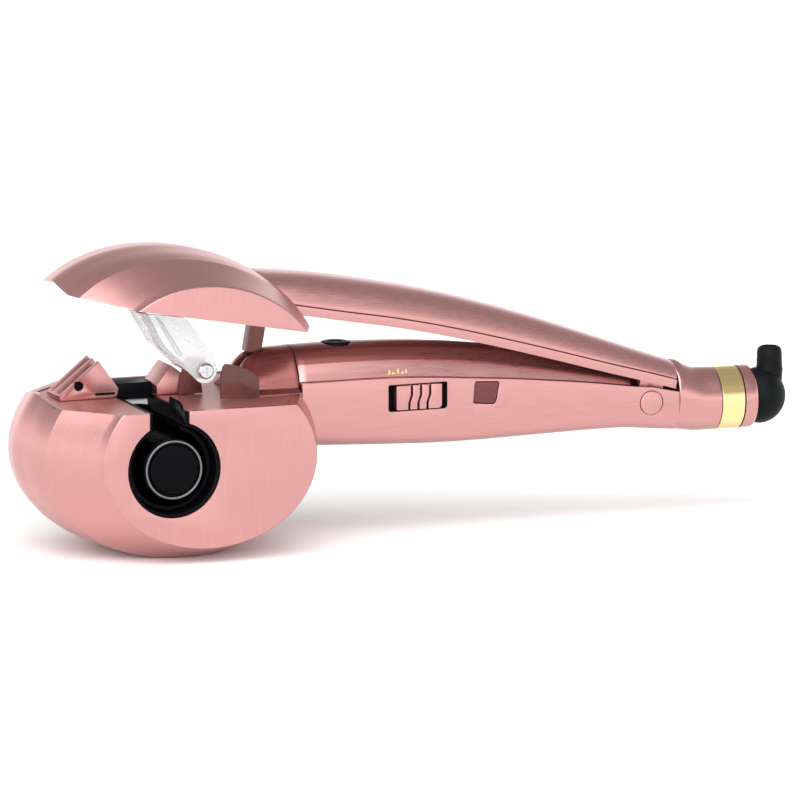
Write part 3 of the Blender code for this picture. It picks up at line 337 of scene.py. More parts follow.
ROSE_COLOUR = (0.56, 0.285, 0.275)
BROWN_COLOUR = (0.16, 0.052, 0.044)
FINE, LONG = 1900.0, 55.0                       # grain across and along, per metre
look = {
    "rose_head": add_grain(new_material("rose_satin_head", ROSE_COLOUR, 0.33, 0.95), (FINE, FINE, LONG)),
    "rose_long": add_grain(new_material("rose_satin_handle", ROSE_COLOUR, 0.31, 0.95), (LONG, FINE, FINE)),
    "rose_gloss": add_grain(new_material("rose_gloss_tail", ROSE_COLOUR, 0.2, 0.95), (LONG, FINE, FINE), 0.03),
    "brown": add_grain(new_material("brown_satin", BROWN_COLOUR, 0.3, 0.35), (900, 900, 900)),
    # Darker rose: painted shade standing for the lever's shadow on the handle top's crown; the neck collar uses
    # it too
    "rose_painted_shade": add_grain(new_material("rose_satin_painted_shade", (0.30, 0.105, 0.095), 0.3, 0.7),
                            (LONG, FINE, FINE)),
    "black": add_grain(new_material("black_satin", (0.002, 0.002, 0.003), 0.42, Specular_IOR_Level=0.05),
                       (1500, 1500, 1500), 0.08),
    "ceramic_black": add_grain(
        new_material("black_ceramic", (0.001, 0.001, 0.0016), 0.3, Specular_IOR_Level=0.06),
        (1200, 1200, 1200), 0.05),
    "rubber": add_grain(new_material("black_rubber", (0.003, 0.0035, 0.004), 0.5, Specular_IOR_Level=0.1),
                        (2600, 2600, 2600), 0.1, 0.00003),
    "steel": add_grain(new_material("bright_steel", (0.62, 0.62, 0.64), 0.28, 1.0), (1500, 1500, 1500)),
    "gold": add_grain(new_material("polished_gold", (0.91, 0.70, 0.34), 0.1, 1.0),
                      (200, 1500, 1500), 0.03, 0.000005),
    "clear": add_grain(
        new_material("clear_plastic", (0.86, 0.88, 0.88), 0.22, Transmission_Weight=0.62, IOR=1.45),
        (260, 260, 260), 0.08, 0.0002, 0.02),
    "smoked": add_grain(
        new_material("smoked_plastic", (0.20, 0.07, 0.06), 0.2, Transmission_Weight=0.55, IOR=1.45),
        (220, 220, 220), 0.05, 0.00006, 0.1),
    "burgundy": add_grain(new_material("burgundy_window", (0.10, 0.014, 0.016), 0.25, Coat_Weight=0.1),
                          (1800, 1800, 1800), 0.04, 0.00001, 0.4),
    "ring": add_grain(new_material("dark_steel_ring", (0.19, 0.19, 0.2), 0.3, 1.0), (1500, 1500, 1500)),
    "white": add_grain(new_material("natural_plastic", (0.78, 0.78, 0.75), 0.42), (1100, 1100, 1100)),
    "board": add_grain(new_material("circuit_board", (0.02, 0.16, 0.06), 0.45),
                       (500, 500, 500), 0.1, 0.00004, 0.3),
    "fired": add_grain(new_material("fired_ceramic", (0.7, 0.69, 0.66), 0.62), (1300, 1300, 1300)),
    "inner_rose": add_grain(new_material("rose_inside", (0.46, 0.19, 0.175), 0.4, 0.6), (700, 700, 700)),
}
CAD_LOOK = {"rose_shell": "rose_long", "brown_plastic": "brown", "black_plastic": "black",
            "black_ceramic": "ceramic_black", "black_rubber": "rubber", "bright_steel": "steel",
            "gold_ring": "gold", "clear_plastic": "clear", "smoked_plastic": "smoked",
            "burgundy_lens": "burgundy", "frame_plastic": "white", "circuit_board": "board", "ceramic": "fired"}
for node, thing in frame["nodes"].items():
    thing.data.materials.clear()
    thing.data.materials.append(look["inner_rose" if node == "head_deck" else CAD_LOOK[SLOT_OF[node]]])


# ---------------------------------------------------------------- pieces

def to_frame(opened):
    """From millimetres at the barrel axis to the frame; opened turns a jaw piece about the pin."""
    place = Matrix.Translation(AXIS) @ Matrix.Scale(MM, 4)
    if opened:
        turn = Matrix.Translation(PIN) @ Matrix.Rotation(OPEN_ANGLE, 4, "Y") @ Matrix.Translation(-PIN)
        place = turn @ place
    return place


def raw_object(name, bm):
    bmesh.ops.remove_doubles(bm, verts=bm.verts, dist=0.0005)
    bmesh.ops.recalc_face_normals(bm, faces=bm.faces)
    mesh = bpy.data.meshes.new(name)
    bm.to_mesh(mesh)
    bm.free()
    made = bpy.data.objects.new(name, mesh)
    bpy.context.scene.collection.objects.link(made)
    return made


def combined(base, steps):
    """The base bmesh after (operation, bmesh) booleans, as a new bmesh."""
    target = raw_object("target", base)
    tools = []
    for operation, tool in steps:
        other = raw_object("tool", tool)
        tools.append(other)
        change = target.modifiers.new(operation, "BOOLEAN")
        change.operation, change.solver, change.object = operation, "EXACT", other
    graph = bpy.context.evaluated_depsgraph_get()
    mesh = bpy.data.meshes.new_from_object(target.evaluated_get(graph))
    result = bmesh.new()
    result.from_mesh(mesh)
    for other in [target, *tools]:
        bpy.data.objects.remove(other, do_unlink=True)
    return result


def finish(name, bm, material, node, extra_piece=False, smooth=30.0, bevel=0.0, steps=3, creases=()):
    """Turn a bmesh into a shown piece that rides with a CAD node's body and stands for it."""
    bmesh.ops.remove_doubles(bm, verts=bm.verts, dist=0.0005)
    bmesh.ops.recalc_face_normals(bm, faces=bm.faces)
    body = BODY_OF[node]
    place = to_frame(body == "lever")
    mesh = bpy.data.meshes.new(name)
    if bevel:
        bmesh.ops.dissolve_degenerate(bm, dist=0.002, edges=bm.edges)
        sharp = [edge for edge in bm.edges if len(edge.link_faces) == 2 and edge.calc_face_angle() > radians(40)]
        bmesh.ops.bevel(bm, geom=sharp, offset=bevel, segments=steps, affect="EDGES", profile=0.5,
                        clamp_overlap=True)
    for edge in bm.edges:
        edge.smooth = not (len(edge.link_faces) == 2 and (
            edge.calc_face_angle() > radians(smooth)
            or any(all(abs(abs(v.co.y) - at) < 0.02 for v in edge.verts) for at in creases)))
    for face in bm.faces:
        face.smooth = True
    bm.transform(place)
    bm.to_mesh(mesh)
    bm.free()
    mesh.materials.append(look[material])
    made = bpy.data.objects.new(name, mesh)
    bpy.context.scene.collection.objects.link(made)
    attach(made, body)
    if not extra_piece:
        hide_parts(node)
    return made




def extra(name, bm, material, node, **options):
    """A small extra piece that rides with a CAD node's body; the node's own surface stays."""
    return finish(name, bm, material, node, extra_piece=True, **options)


# ---------------------------------------------------------------- head and lid

def egg(inset=0.0, segments=160):
    """The closed form of head and lid, or the same form drawn in by an inset."""
    crown = [(y, *smooth_row(HEAD_CROWN, y)) for y, *_ in stations(HEAD_CROWN[1:], 2.0)]
    flank = stations(HEAD_FLANK, 2.2)[1:]
    edge = HEAD_FLANK[-1]
    rim = [(edge[0] + sin(turn), edge[1], edge[2], edge[3] - 1 + cos(turn), edge[4] - 1 + cos(turn))
           for turn in (radians(30), radians(60), radians(90))]
    side = crown + flank + rim
    rows = [(-row[0], *row[1:]) for row in reversed(side[1:])] + side
    sections = []
    for y, x0, z0, a, b in rows:
        y_in = y * (HEAD_HALF - inset) / HEAD_HALF
        turns = [2 * pi * (i + 0.5) / segments for i in range(segments)]
        sections.append([(x0 + (a - inset) * cos(t), y_in, z0 + (b - inset) * sin(t)) for t in turns])
    return loft(sections)


def rim_prism(raise_by, upper):
    """Everything above the rim (upper) or below it, with the rise at the nose."""
    flat, tip = RIM_Z + raise_by, RIM_TIP_Z + raise_by
    far_z = 90.0 if upper else -90.0
    crest = [(-70.0, flat), (-20.0, flat), (0.0, tip), (20.0, flat), (70.0, flat)]
    crest += [(70.0, far_z), (-70.0, far_z)]
    level = [(y, flat) for y in (-70.0, -20.0, 0.0, 20.0, 70.0)] + [(70.0, far_z), (-70.0, far_z)]
    ends = ((-90.0, crest), (-43.0, crest), (-21.0, level), (120.0, level))
    return loft([[(x, y, z) for y, z in outline] for x, outline in ends])


def lever_envelope(grow):
    sections = []
    for x, width, top, edge in ((LEVER[0][0] - grow,) + LEVER[0][1:],) + LEVER[1:6]:
        rim = [(x, y, z) for y, z in dome(width + grow, edge, top + grow)]
        sections.append([(x, -width - grow, 0.0)] + rim + [(x, width + grow, 0.0)])
    return loft(sections)


def build_head():
    low, high = SLOT_X
    shell = combined(egg(), [
        ("DIFFERENCE", rim_prism(0.0, True)),
        ("DIFFERENCE", box((-60, 80), (-50, 50), (-60, FOOT_Z))),
        ("DIFFERENCE", box((31, 80), (-NECK_HALF_Y - GAP, NECK_HALF_Y + GAP), (NECK_Z - GAP, 43))),
        ("DIFFERENCE", egg(HEAD_WALL)),
        ("DIFFERENCE", rod("y", (-45, -30), CHAMBER_R + GAP)),
        ("DIFFERENCE", box((low - GAP, high + GAP), (-45, -30), (10, 40))),
        ("DIFFERENCE", rod("y", (30, 45), REAR_COVER_R + GAP, at=REAR_COVER_AT))])
    finish("head_shell_fine", shell, "rose_head", "head_shell", bevel=0.45, creases=(CREASE_Y,))
    face = HEAD_HALF
    cover = [(face - 2.0, 0.0), (face - 2.0, REAR_COVER_R), (face - 0.6, REAR_COVER_R)]
    cover += [(face - 0.6 + 0.6 * sin(a), REAR_COVER_R - 0.6 + 0.6 * cos(a))
              for a in map(radians, (30, 60, 90))]
    cover += [(face, 13.2), (face - 0.4, 12.9), (face - 0.4, 12.5), (face, 12.2), (face, 0.0)]
    finish("rear_cover_fine", turned("y", cover, REAR_COVER_AT, 128, ring=False), "rose_head", "rear_cover")


def build_lid():
    lid = combined(egg(), [
        ("DIFFERENCE", rim_prism(LID_GAP, False)),
        ("DIFFERENCE", egg(LID_WALL)),
        ("DIFFERENCE", lever_envelope(GAP))])
    finish("lid_shell_fine", lid, "rose_head", "lid_shell", bevel=0.4, creases=(CREASE_Y,))
    liner = combined(egg(LID_WALL + GAP), [
        ("DIFFERENCE", rim_prism(LID_GAP + 1.0, False)),
        ("DIFFERENCE", rim_prism(LID_GAP + 3.2, True)),
        ("DIFFERENCE", egg(LID_WALL + 2.6)),
        ("DIFFERENCE", lever_envelope(GAP)),
        ("DIFFERENCE", box((LINER_NOTCH_X, 80), (-NECK_HALF_Y - 1.0, NECK_HALF_Y + 1.0), (0, 60)))])
    finish("lid_frame_fine", liner, "brown", "lid_frame", bevel=0.25, steps=2)


def build_chamber():
    low, high = SLOT_X
    inner = CHAMBER_R - 1.1
    floor = CHAMBER_FLOOR_Y - 1.2
    front = CHAMBER_FRONT_Y
    profile = [(front, CHAMBER_R), (CHAMBER_FLOOR_Y, CHAMBER_R), (CHAMBER_FLOOR_Y, 5.9), (floor, 5.9),
               (floor, inner), (front + 0.5, inner), (front + 0.15, inner + 0.15), (front, inner + 0.5)]
    depth = (front + 0.4, CHAMBER_FLOOR_Y)
    cup = combined(turned("y", profile, segments=128), [
        ("UNION", box((low, low + 1.1), depth, (14.0, 20.8))),
        ("UNION", box((high - 1.1, high), depth, (15.6, 20.8))),
        ("UNION", box((low + 0.7, high), (CHAMBER_FLOOR_Y - 1.0, GUIDE_Y[1]), (DECK_Z[0], 25.2))),
        ("UNION", plate_xz(rounded(HAIR_FINGER, [0.2, 1, 2, 2, 0.6, 0.6, 2, 2, 1, 0.2]), HAIR_FINGER_Y)),
        ("DIFFERENCE", box((low + 1.1, high - 1.1), (-45, floor - 0.01), (5, 40)))])
    finish("chamber_cup_fine", cup, "black", "chamber_cup", bevel=0.2, steps=2)
    wall_y = BARREL_REAR_Y - 1.5
    tube = [(BARREL_FRONT_Y, BARREL_R - 0.5), (BARREL_FRONT_Y + 0.15, BARREL_R - 0.15),
            (BARREL_FRONT_Y + 0.5, BARREL_R), (BARREL_REAR_Y, BARREL_R), (BARREL_REAR_Y, 3.0), (11.0, 3.0),
            (11.0, 1.6), (wall_y, 1.6), (wall_y, 9.3), (BARREL_FRONT_Y, 9.3)]
    finish("barrel_fine", turned("y", tube, segments=128), "ceramic_black", "barrel")
    y0, y1 = BARREL_FRONT_Y - 0.8, BARREL_FRONT_Y - 0.3
    ring = [(y1, 10.7), (y0 + 0.1, 10.7), (y0, 10.6), (y0, 10.1), (y0 + 0.1, 10.0), (y1, 10.0)]
    finish("barrel_ring_fine", turned("y", ring, segments=128), "ring", "barrel_ring")
    cap = [(BARREL_FRONT_Y + 2.0, 0.0), (BARREL_FRONT_Y + 2.0, 9.0), (y0 + 0.3, 9.0), (y0 + 0.1, 8.9), (y0, 8.6),
           (y0, 0.0)]
    finish("barrel_cap_fine", turned("y", cap, segments=128, ring=False), "ceramic_black", "barrel_cap")


def build_rotor():
    inner = ROTOR_R - 1.5
    low, high = SLOT_X
    profile = [(-33.0, ROTOR_R), (1.6, ROTOR_R), (1.6, 5.5), (5.0, 5.5), (5.0, 3.4), (0.0, 3.4), (0.0, inner),
               (-33.0, inner)]
    rotor = combined(turned("y", profile, segments=128), [
        ("DIFFERENCE", plate_xz([(low + 1.4, -1.0), (high - 1.4, -1.0), (high - 1.4, 20.0), (low + 1.4, 20.0)],
                                (-40.0, -0.01))),
        ("DIFFERENCE", plate_xz([(-20, 4.0), (-6, 9.0), (-6, 20.0), (-20, 20.0)], (-40.0, -18.0)))])
    finish("rotor_fine", rotor, "black", "rotor", bevel=0.25, steps=2)


# ---------------------------------------------------------------- hair guides on the deck

def build_guides():
    base = 21.0
    low, high = SLOT_X
    outline = [(-30.8, base), (low - 0.3, base), (low + 0.4, 24.2), (-15.9, 34.4), (-30.8, 22.3)]
    left = combined(plate_xz(outline, GUIDE_Y), [
        ("DIFFERENCE", rod("y", (-10, 3.0), 1.8, at=GUIDE_EYE_AT, segments=40)),
        ("DIFFERENCE", plate_xz([(-30.5, 23.3), (-29.2, 21.7), (-14.3, 33.8), (-15.6, 35.4)], (0.6, 4.4))),
        ("DIFFERENCE", plate_xz([(-30.5, 23.3), (-29.7, 22.3), (-14.8, 34.4), (-15.6, 35.4)], (7.4, 10.2))),
        ("DIFFERENCE", box((-17.5, low - 0.8), (-3.0, -1.4), (22.0, 23.0)))])
    finish("left_guide_fine", left, "rose_head", "left_guide", bevel=0.3, steps=2)
    eye = [(-1.2, 0.0), (-1.2, 1.75), (-0.9, 1.75), (-0.9, 0.0)]
    extra("guide_eye", turned("y", eye, GUIDE_EYE_AT, 40, ring=False), "black", "left_guide")
    slit = rounded_bar((-17.2, low - 0.9), (-1.9, -1.5), (22.1, 22.9), 0.15)
    extra("guide_slit", slit, "black", "left_guide")
    outline = [(high + 0.5, base), (21.1, base), (21.1, 24.4), (11.6, 31.5), (high + 0.5, 24.2)]
    finish("right_guide_fine", plate_xz(outline, GUIDE_Y), "rose_head", "right_guide",
           bevel=0.3, steps=2)
    px, pz = GUIDE_PIVOT
    ear = [(px - 4.5, base), (px + 4.5, base)] + arc(GUIDE_PIVOT, 3.0, 0, 180, 24)
    bracket = combined(plate_xz(ear, (-3.6, -2.3)), [
        ("DIFFERENCE", rod("y", (-5, -1), 1.5, at=GUIDE_PIVOT))])
    finish("guide_bracket_fine", bracket, "brown", "guide_bracket", bevel=0.15, steps=2)
    near = CLEAR_GUIDE_Y[0]
    screw = [(-20.9, 0.0), (-20.9, 2.3), (-20.7, 2.6), (-20.4, 2.8), (near - GAP, 2.8), (near - GAP, 1.2),
             (-2.6, 1.2), (-2.6, 0.0)]
    cross = [("DIFFERENCE", box((px - 1.6, px + 1.6), (-22, -20.2), (pz - 0.3, pz + 0.3))),
             ("DIFFERENCE", box((px - 0.3, px + 0.3), (-22, -20.2), (pz - 1.6, pz + 1.6)))]
    finish("guide_screw_fine", combined(turned("y", screw, GUIDE_PIVOT, 64, ring=False), cross), "steel",
           "guide_screw")
    guard = [(24.8, 21.0), (39.5, 21.0), (39.5, 27.8), (37.0, 30.2), (31.0, 33.0), (26.0, 33.9), (24.8, 30.5)]
    outline = rounded(guard, [0.3, 0.3, 1.5, 3.0, 3.0, 1.5, 3.0])
    finish("smoky_guard_fine", plate_xz(outline, (-18.5, -17.3)), "smoked", "smoky_guard",
           bevel=0.25, steps=2)


def build_clear_guide():
    """A clear channel: a front plate and a side plate with a ridge, and the boss it swings on."""
    near, far = CLEAR_GUIDE_Y
    corners = [(-6.8, 54.4), (11.5, 51.6), (19.6, 40.3), (22.6, 35.2)]
    outline = rounded(corners, [1.0, 2.0, 1.0, 1.0]) + arc(GUIDE_PIVOT, 4.6, 10, -140, 24)
    outline += [(10.0, 33.8), (1.8, 41.0)]
    pocket = [(-4.9, 58.0), (40.0, 58.0), (40.0, 20.0), (12.0, 20.0), (12.0, 33.9), (3.5, 41.4)]
    guide = combined(plate_xz(outline, (near, far)), [
        ("DIFFERENCE", plate_xz(pocket, (near + 1.5, far + 5))),
        ("UNION", rod("y", (near + 1.0, far), 3.0, at=GUIDE_PIVOT, segments=64)),
        ("DIFFERENCE", rod("y", (near - 5, far + 5), 1.3, at=GUIDE_PIVOT, segments=48))])
    finish("clear_guide_fine", guide, "clear", "clear_guide", bevel=0.35)
    ridge = [(-0.6, 52.6), (0.9, 52.3), (9.6, 38.6), (9.2, 37.6), (8.0, 38.0)]
    extra("clear_guide_ridge", plate_xz(ridge, (near - 0.75, near - 0.02)), "clear", "clear_guide",
          bevel=0.3)


# ---------------------------------------------------------------- jaw lever

def lever_rows(rows, inset, start):
    return [[(x, y, z) for y, z in dome(width - inset, edge, top - inset, start)]
            for x, width, top, edge in rows]


def build_lever():
    rows = stations(LEVER, 3.0)
    start = LEVER_BAND + GAP
    shell = wall_between(lever_rows(rows, 0.0, start), lever_rows(rows, LEVER_WALL, start))
    finish("lever_shell_fine", shell, "rose_long", "lever_shell", bevel=0.35, smooth=40)
    skin_out = LEVER_WALL + GAP
    skin_in = skin_out + 0.9
    outer, inner = [], []
    for x, width, top, edge in rows:
        out = dome(width - skin_out, edge, top - skin_out, LEVER_BAND)
        outer.append([(x, -width, edge), (x, -width, edge + LEVER_BAND)] + [(x, y, z) for y, z in out]
                     + [(x, width, edge + LEVER_BAND), (x, width, edge)])
        low = width - skin_in
        skin = dome(low, edge, top - skin_in, LEVER_BAND)
        inner.append([(x, -low, edge), (x, -low, edge + LEVER_BAND * 0.5)] + [(x, y, z) for y, z in skin]
                     + [(x, low, edge + LEVER_BAND * 0.5), (x, low, edge)])
    hinge_x = HINGE[0]
    lug_x = (hinge_x - HINGE_CAP_R, hinge_x + HINGE_CAP_R)
    lug = [(lug_x[0], 20.0)] + arc(HINGE, HINGE_CAP_R, 180, 360, 32) + [(lug_x[1], 20.0)]
    frame_mesh = combined(wall_between(outer, inner), [
        ("UNION", box((22.0, 37.2), (-8.0, 8.0), (33.2, 34.9))),
        ("UNION", plate_xz(lug, (-9.2, -6.4))),
        ("UNION", plate_xz(lug, (6.4, 9.2))),
        ("UNION", box(lug_x, (-9.0, 9.0), (17.0, 20.4))),
        ("DIFFERENCE", rod("y", (-12, 12), HINGE_BORE_R, at=HINGE, segments=48)),
        ("DIFFERENCE", box((28.0, 31.4), (-5.7, 5.7), (30, 36)))])
    finish("lever_frame_fine", frame_mesh, "rose_long", "lever_frame", bevel=0.25, steps=2, smooth=40)
    post = [(37.7, 7.8), (43.5, 7.8), (43.5, 34.3), (37.7, 34.3)]
    finish("latch_post_fine", plate_xz(rounded(post, 0.6), (-2.8, 2.8)), "brown", "latch_post", bevel=0.35)


# ---------------------------------------------------------------- handle

def side_profile(width, seam, bottom):
    """Half of the lower handle's section as (Y, Z), from the bottom middle up to the seam."""
    crease = bottom + 9.2
    cage = [(0.0, bottom), (0.45 * width, bottom + 0.5), (0.72 * width, bottom + 2.2),
            (0.88 * width, bottom + 4.6), (0.965 * width, crease - 1.6), (width, crease + 0.6),
            (width, (crease + seam) / 2 + 1.0), (width - 0.1, seam)]
    curve = []
    for i in range(5):
        p0, p1, p2, p3 = cage[max(i - 1, 0)], cage[i], cage[i + 1], cage[min(i + 2, 5)]
        if i == 0:
            p0 = (-p2[0], p2[1])
        for k in range(4):
            t = k / 4
            curve.append(tuple(
                0.5 * (2 * b + (c - a) * t + (2 * a - 5 * b + 4 * c - d) * t * t
                       + (3 * b - a - 3 * c + d) * t ** 3)
                for a, b, c, d in zip(p0, p1, p2, p3)))
    return curve + cage[5:]


def inset_profile(points, wall):
    inner = []
    for y, z in points:
        share = min(1.0, y / points[-1][0])
        inner.append((max(0.0, y - wall * share), z + wall * (1.0 - share ** 3) if z < points[-1][1] else z))
    return inner


def handle_half(side):
    outer, inner = [], []
    for x, width, _, seam, bottom in stations(HANDLE, 3.0):
        profile = side_profile(width, seam, bottom)
        skin = inset_profile(profile, HANDLE_WALL)
        lift = [0.1 if i == 0 else 0.0 for i in range(len(profile))]
        outer.append([(x, side * (y + d), z) for (y, z), d in zip(profile, lift)])
        inner.append([(x, side * (y + d), z) for (y, z), d in zip(skin, lift)])
    return wall_between(outer, inner)


def build_handle():
    x0, x1, z0, z1 = SWITCH_OPENING
    opening = rounded([(x0, z0), (x1, z0), (x1, z1), (x0, z1)], [1.2, 1.6, 0.8, 0.8])
    for side, name, node in ((-1, "handle_front_fine", "handle_front_shell"),
                             (1, "handle_rear_fine", "handle_rear_shell")):
        boss, bore, seat = (sorted((side * a, side * b)) for a, b in ((9.9, 11.6), (9.0, 14.0), (11.0, 14.0)))
        steps = [("UNION", rod("y", boss, 5.6, at=HINGE, segments=64)),
                 ("DIFFERENCE", rod("y", bore, HINGE_BORE_R, at=HINGE, segments=48)),
                 ("DIFFERENCE", rod("y", seat, HINGE_CAP_R, at=HINGE, segments=64))]
        if side < 0:
            steps += [("DIFFERENCE", plate_xz(opening, (-20, -12))),
                      ("DIFFERENCE", plate_xz(rounded(WINDOW, [1.0, 1.8, 1.2, 1.0]), (-20, -11)))]
        else:
            steps += [("DIFFERENCE", rod("y", (0.2, 20.0), 3.1, at=place, segments=48))
                      for place in CASE_SCREWS]
        finish(name, combined(handle_half(side), steps), "rose_long", node, bevel=0.3, smooth=32)
    outer, inner = [], []
    for x, width, top, seam, _ in stations(HANDLE, 3.0):
        if x > TOP_SHELL_END_X:
            break
        lip = width - HANDLE_WALL - 0.4
        flange = ((lip, seam - 0.8), (lip, seam - 0.1))
        inside = ((lip - 1.4, seam - 0.8), (lip - 1.9, seam - 0.3))
        outer.append(flanked(x, flange, ridge(width - TOP_INSET, seam + 0.2, top)))
        inner.append(flanked(x, inside, ridge(width - TOP_INSET - 1.4, seam + 0.2, top - 1.4)))
    top_shell = combined(wall_between(outer, inner), [
        ("DIFFERENCE", rod("z", (30, 40), BUMPER_R + GAP, at=(BUMPER_X, 0.0), segments=64))])
    shown = finish("handle_top_fine", top_shell, "rose_long", "handle_top_shell",
                   bevel=0.25, steps=2, smooth=40)
    # Faces above half the crown's rise take the darker rose: painted shade from the lever over the top.
    shown.data.materials.append(look["rose_painted_shade"])
    for face in shown.data.polygons:
        place = (face.center - AXIS) / MM
        _, crown, seam, _ = smooth_row(HANDLE, min(place.x, TOP_SHELL_END_X))
        face.material_index = int(place.z > seam + 0.51 * (crown - seam - 0.2))
    top = smooth_row(HANDLE, BUMPER_X)[1]
    bumper = [(top - 1.4, 0.0), (top - 1.4, BUMPER_R), (top - 0.4, BUMPER_R), (top - 0.1, BUMPER_R - 0.15),
              (top + 0.15, BUMPER_R - 0.6), (top + 0.15, 2.6), (top - 0.1, 2.3), (top - 0.1, 0.0)]
    finish("lid_bumper_fine", turned("z", bumper, (BUMPER_X, 0.0), 64, ring=False), "rubber", "lid_bumper")
    for side, name in ((-1, "front"), (1, "rear")):
        cap = [(side * 11.05, 0.0), (side * 11.05, 4.3), (side * 11.9, 4.3), (side * 12.15, 4.2),
               (side * 12.25, 3.95), (side * 12.3, 0.0)]
        finish("hinge_cap_%s_fine" % name, turned("y", cap, HINGE, 64, ring=False), "rose_long",
               "hinge_cap_%s" % name)


def build_controls():
    """The slide knob with three bent finger grooves, the window and the marks over the knob."""
    x0, x1, z0, z1 = KNOB
    plate_y = -HANDLE[3][1] + 2.8
    face = plate_y - 3.3
    body = rounded([(x0, z0), (x1, z0), (x1, z1), (x0, z1)], [0.8, 1.6, 0.5, 0.5])
    steps = []
    for i in range(3):
        at = x0 + (x1 - x0) * (0.33 + 0.2 * i)
        bend = [(at + 0.55, z1 + 1), (at + 0.55, z1 - 3.6), (at - 0.45, z0 + 2.4), (at - 0.5, z0 - 1)]
        line = bend + [(x - 0.8, z) for x, z in reversed(bend)]
        steps.append(("DIFFERENCE", plate_xz(line, (face - 1.0, face + 1.5))))
    knob = combined(plate_xz(body, (face, plate_y - GAP)), steps)
    finish("switch_knob_fine", knob, "rose_long", "switch_knob", bevel=0.2, steps=2)
    # Black strips laid at the groove floors: painted shade in the finger grooves.
    for i in range(3):
        at = x0 + (x1 - x0) * (0.33 + 0.2 * i)
        bend = [(at + 0.5, z1 - 0.3), (at + 0.5, z1 - 3.6), (at - 0.5, z0 + 2.4), (at - 0.55, z0 + 0.3)]
        line = bend + [(x - 0.7, z) for x, z in reversed(bend)]
        extra("knob_groove_%d" % i, plate_xz(line, (face + 1.0, face + 1.45)), "black", "switch_knob")
    lens = [(122.8, 13.3), (131.3, 12.55), (132.65, 20.3), (123.45, 20.9)]
    width = smooth_row(HANDLE, 128.0)[0]
    finish("indicator_lens_fine", plate_xz(rounded(lens, [0.8, 1.6, 1.0, 0.8]), (-width + 0.25, -width + 2.0)),
           "burgundy", "indicator_lens", bevel=0.2, steps=2)
    for i, (x, wide, high) in enumerate(((91.0, 0.7, 1.7), (92.5, 0.9, 0.9), (94.3, 0.7, 1.9), (96.0, 0.8, 1.0),
                                         (97.4, 0.6, 1.6))):
        y = -smooth_row(HANDLE, x)[0] + TOP_INSET - 0.02
        mark = rounded_bar((x - wide / 2, x + wide / 2), (y - 0.1, y + 0.05), (MARK_Z, MARK_Z + high), 0.04)
        extra("mode_mark_%d" % i, mark, "gold", "handle_top_shell")


# ---------------------------------------------------------------- collar, deck and tail

def build_collar():
    outline, half = [], NECK_HALF_Y
    for x, width, top in stations(COLLAR, 1.2):
        outline.append([(x, -half, 21.2)]
                       + [(x, y, z) for y, z in ridge(width - TOP_INSET - 0.2, 22.6, top)]
                       + [(x, half, 21.2), (x, half, 2.6), (x, half - 2.4, NECK_Z), (x, 0.0, NECK_Z),
                          (x, 2.4 - half, NECK_Z), (x, -half, 2.6)])
    collar = combined(loft(outline), [
        ("DIFFERENCE", box((36.4, 46.6), (-3.4, 3.4), (6.0, 50))),
        ("DIFFERENCE", box((35.9, 60), (-4.0, 4.0), (-0.4, 6.01))),
        ("DIFFERENCE", box((49.0, 60), (-13.0, 13.0), (3.0, 20.0)))])
    # The collar takes the darker rose as well: painted shade under the lever's front.
    finish("neck_collar_fine", collar, "rose_painted_shade", "neck_collar",
           bevel=0.3, steps=2, smooth=40)


def tail_section(x, half_y, top, bottom, steps=96):
    centre, half = (top + bottom) / 2, (top - bottom) / 2
    turns = [2 * pi * i / steps for i in range(steps)]
    return [(x, half_y * sin(t), centre + half * cos(t)) for t in turns]


TAIL = ((204.3, 11.9, 22.0, -3.4), (206.5, 11.9, 21.9, -3.8), (209.0, 11.8, 20.6, -4.2),
        (213.0, 11.6, 18.9, TAIL_Z - TAIL_R + 0.1),
        (221.0, TAIL_R - 0.1, TAIL_Z + TAIL_R - 0.1, TAIL_Z - TAIL_R + 0.1))


def build_tail():
    axis = (0.0, TAIL_Z)
    sleeve = combined(loft([tail_section(*row) for row in stations(TAIL, 0.8)]),
                      [("DIFFERENCE", rod("x", (200, 225), 9.0, at=axis))])
    finish("tail_sleeve_fine", sleeve, "rose_gloss", "tail_sleeve", bevel=0.2, steps=2)
    low, high = RING_X
    ring = [(low, TAIL_R - 0.25), (low + 0.25, TAIL_R), (high - 0.25, TAIL_R), (high, TAIL_R - 0.25), (high, 9.0),
            (low, 9.0)]
    finish("gold_ring_fine", turned("x", ring, axis, 128), "gold", "gold_ring")
    start = high + GAP
    cap = [(start, TAIL_R), (CAP_END_X - 1.6, TAIL_R)]
    cap += [(CAP_END_X - 1.6 + 1.6 * sin(a), TAIL_R - 1.6 + 1.6 * cos(a))
            for a in map(radians, (20, 40, 60, 80, 90))]
    cap += [(CAP_END_X, 6.3), (start, 6.3)]
    finish("tail_end_fine", turned("x", cap, axis, 128), "rose_gloss", "tail_end_cap")
    start = high - 3.6
    body = [(start, 0.0), (start, 6.0), (CAP_END_X + GAP, 6.0), (CAP_END_X + GAP, 9.8)]
    body += [(239.2 + 10.0 * sin(a), 10.3 * cos(a)) for a in map(radians, range(0, 90, 5))]
    body += [(249.2, 0.0)]
    spout = [(4.0, 0.0), (4.0, 4.6), (8.0, 4.75), (9.4, 4.95), (10.4, 4.75), (14.2, 4.6), (15.6, 4.6),
             (16.9, 4.3), (17.6, 3.8), (17.9, 3.2), (17.9, 0.0)]
    spout = [(TAIL_Z + along, radius) for along, radius in spout]
    elbow = combined(turned("x", body, axis, 96, ring=False), [
        ("UNION", turned("z", spout, (ELBOW_X, 0.0), 64, ring=False)),
        ("DIFFERENCE", rod("z", (TAIL_Z, 40), 2.9, at=(ELBOW_X, 0.0), segments=48)),
        ("DIFFERENCE", rod("x", (200, 243.0), 2.8, at=axis, segments=48))])
    finish("swivel_elbow_fine", elbow, "rubber", "swivel_elbow", bevel=0.3, steps=2, smooth=40)


# ---------------------------------------------------------------- studio

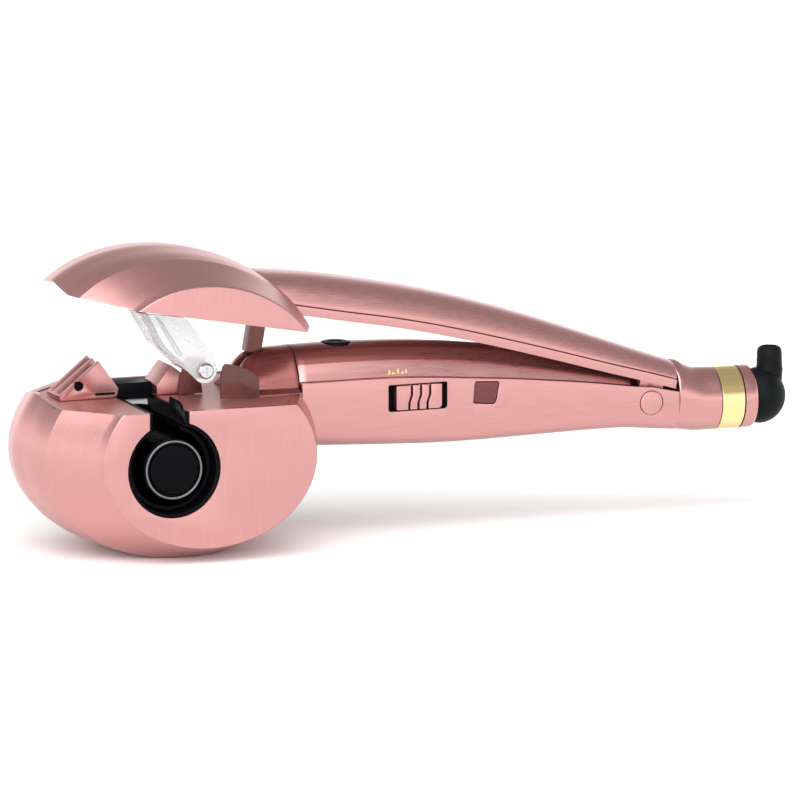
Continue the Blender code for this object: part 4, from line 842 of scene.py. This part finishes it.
def build_world(scene):
    """A bright band low all round, dim above: the band shapes the metal, the lamp lights the floor."""
    world = bpy.data.worlds.new("studio")
    world.use_nodes = True
    scene.world = world
    nodes, links = world.node_tree.nodes, world.node_tree.links
    place = nodes.new("ShaderNodeTexCoord")
    split = nodes.new("ShaderNodeSeparateXYZ")
    ramp = nodes.new("ShaderNodeValToRGB")
    links.new(place.outputs["Generated"], split.inputs["Vector"])
    links.new(split.outputs["Z"], ramp.inputs["Fac"])
    for i, (height, level) in enumerate(((0.0, 1.0), (0.2, 0.85), (0.4, 0.34), (0.75, 0.24))):
        stop = ramp.color_ramp.elements[i] if i < 2 else ramp.color_ramp.elements.new(height)
        stop.position = height
        stop.color = (level, level, level, 1.0)
    back = nodes["Background"]
    links.new(ramp.outputs["Color"], back.inputs["Color"])
    back.inputs["Strength"].default_value = 1.8


def build_studio():
    scene = bpy.context.scene
    floor_mesh = bpy.data.meshes.new("studio_floor")
    floor_mesh.from_pydata([(-12, -6, 0), (12, -6, 0), (12, 18, 0), (-12, 18, 0)], [], [(0, 1, 2, 3)])
    floor = bpy.data.objects.new("studio_floor", floor_mesh)
    scene.collection.objects.link(floor)
    floor_mesh.materials.append(add_grain(new_material("pale_floor", (0.93, 0.93, 0.93), 0.9), (40, 40, 40),
                                          0.02, 0.00001, 0.005))
    build_world(scene)
    sun = bpy.data.lights.new("key", "SUN")
    sun.energy, sun.angle = 4.0, radians(75)
    lamp = bpy.data.objects.new("key", sun)
    scene.collection.objects.link(lamp)
    lamp.rotation_euler = Vector((0.42, 0.72, -0.85)).to_track_quat("-Z", "Y").to_euler()
    scene.view_settings.view_transform = "Standard"


def build_camera():
    """A long lens from the front, 20 degrees to the left of it and 10 degrees above."""
    aim = AXIS + Vector((77.6, -61.6, 24.7)) * MM
    turn, rise, distance = radians(20.0), radians(10.0), 6.0
    back = Vector((-sin(turn) * cos(rise), -cos(turn) * cos(rise), sin(rise)))
    data = bpy.data.cameras.new("camera")
    data.sensor_width, data.lens = 36.0, 753.0
    camera = bpy.data.objects.new("camera", data)
    bpy.context.scene.collection.objects.link(camera)
    camera.location = aim + back * distance
    camera.rotation_euler = (-back).to_track_quat("-Z", "Y").to_euler()
    bpy.context.scene.camera = camera


build_head()
build_lid()
build_chamber()
build_rotor()
build_guides()
build_clear_guide()
build_lever()
build_handle()
build_controls()
build_collar()
build_tail()
build_studio()
build_camera()
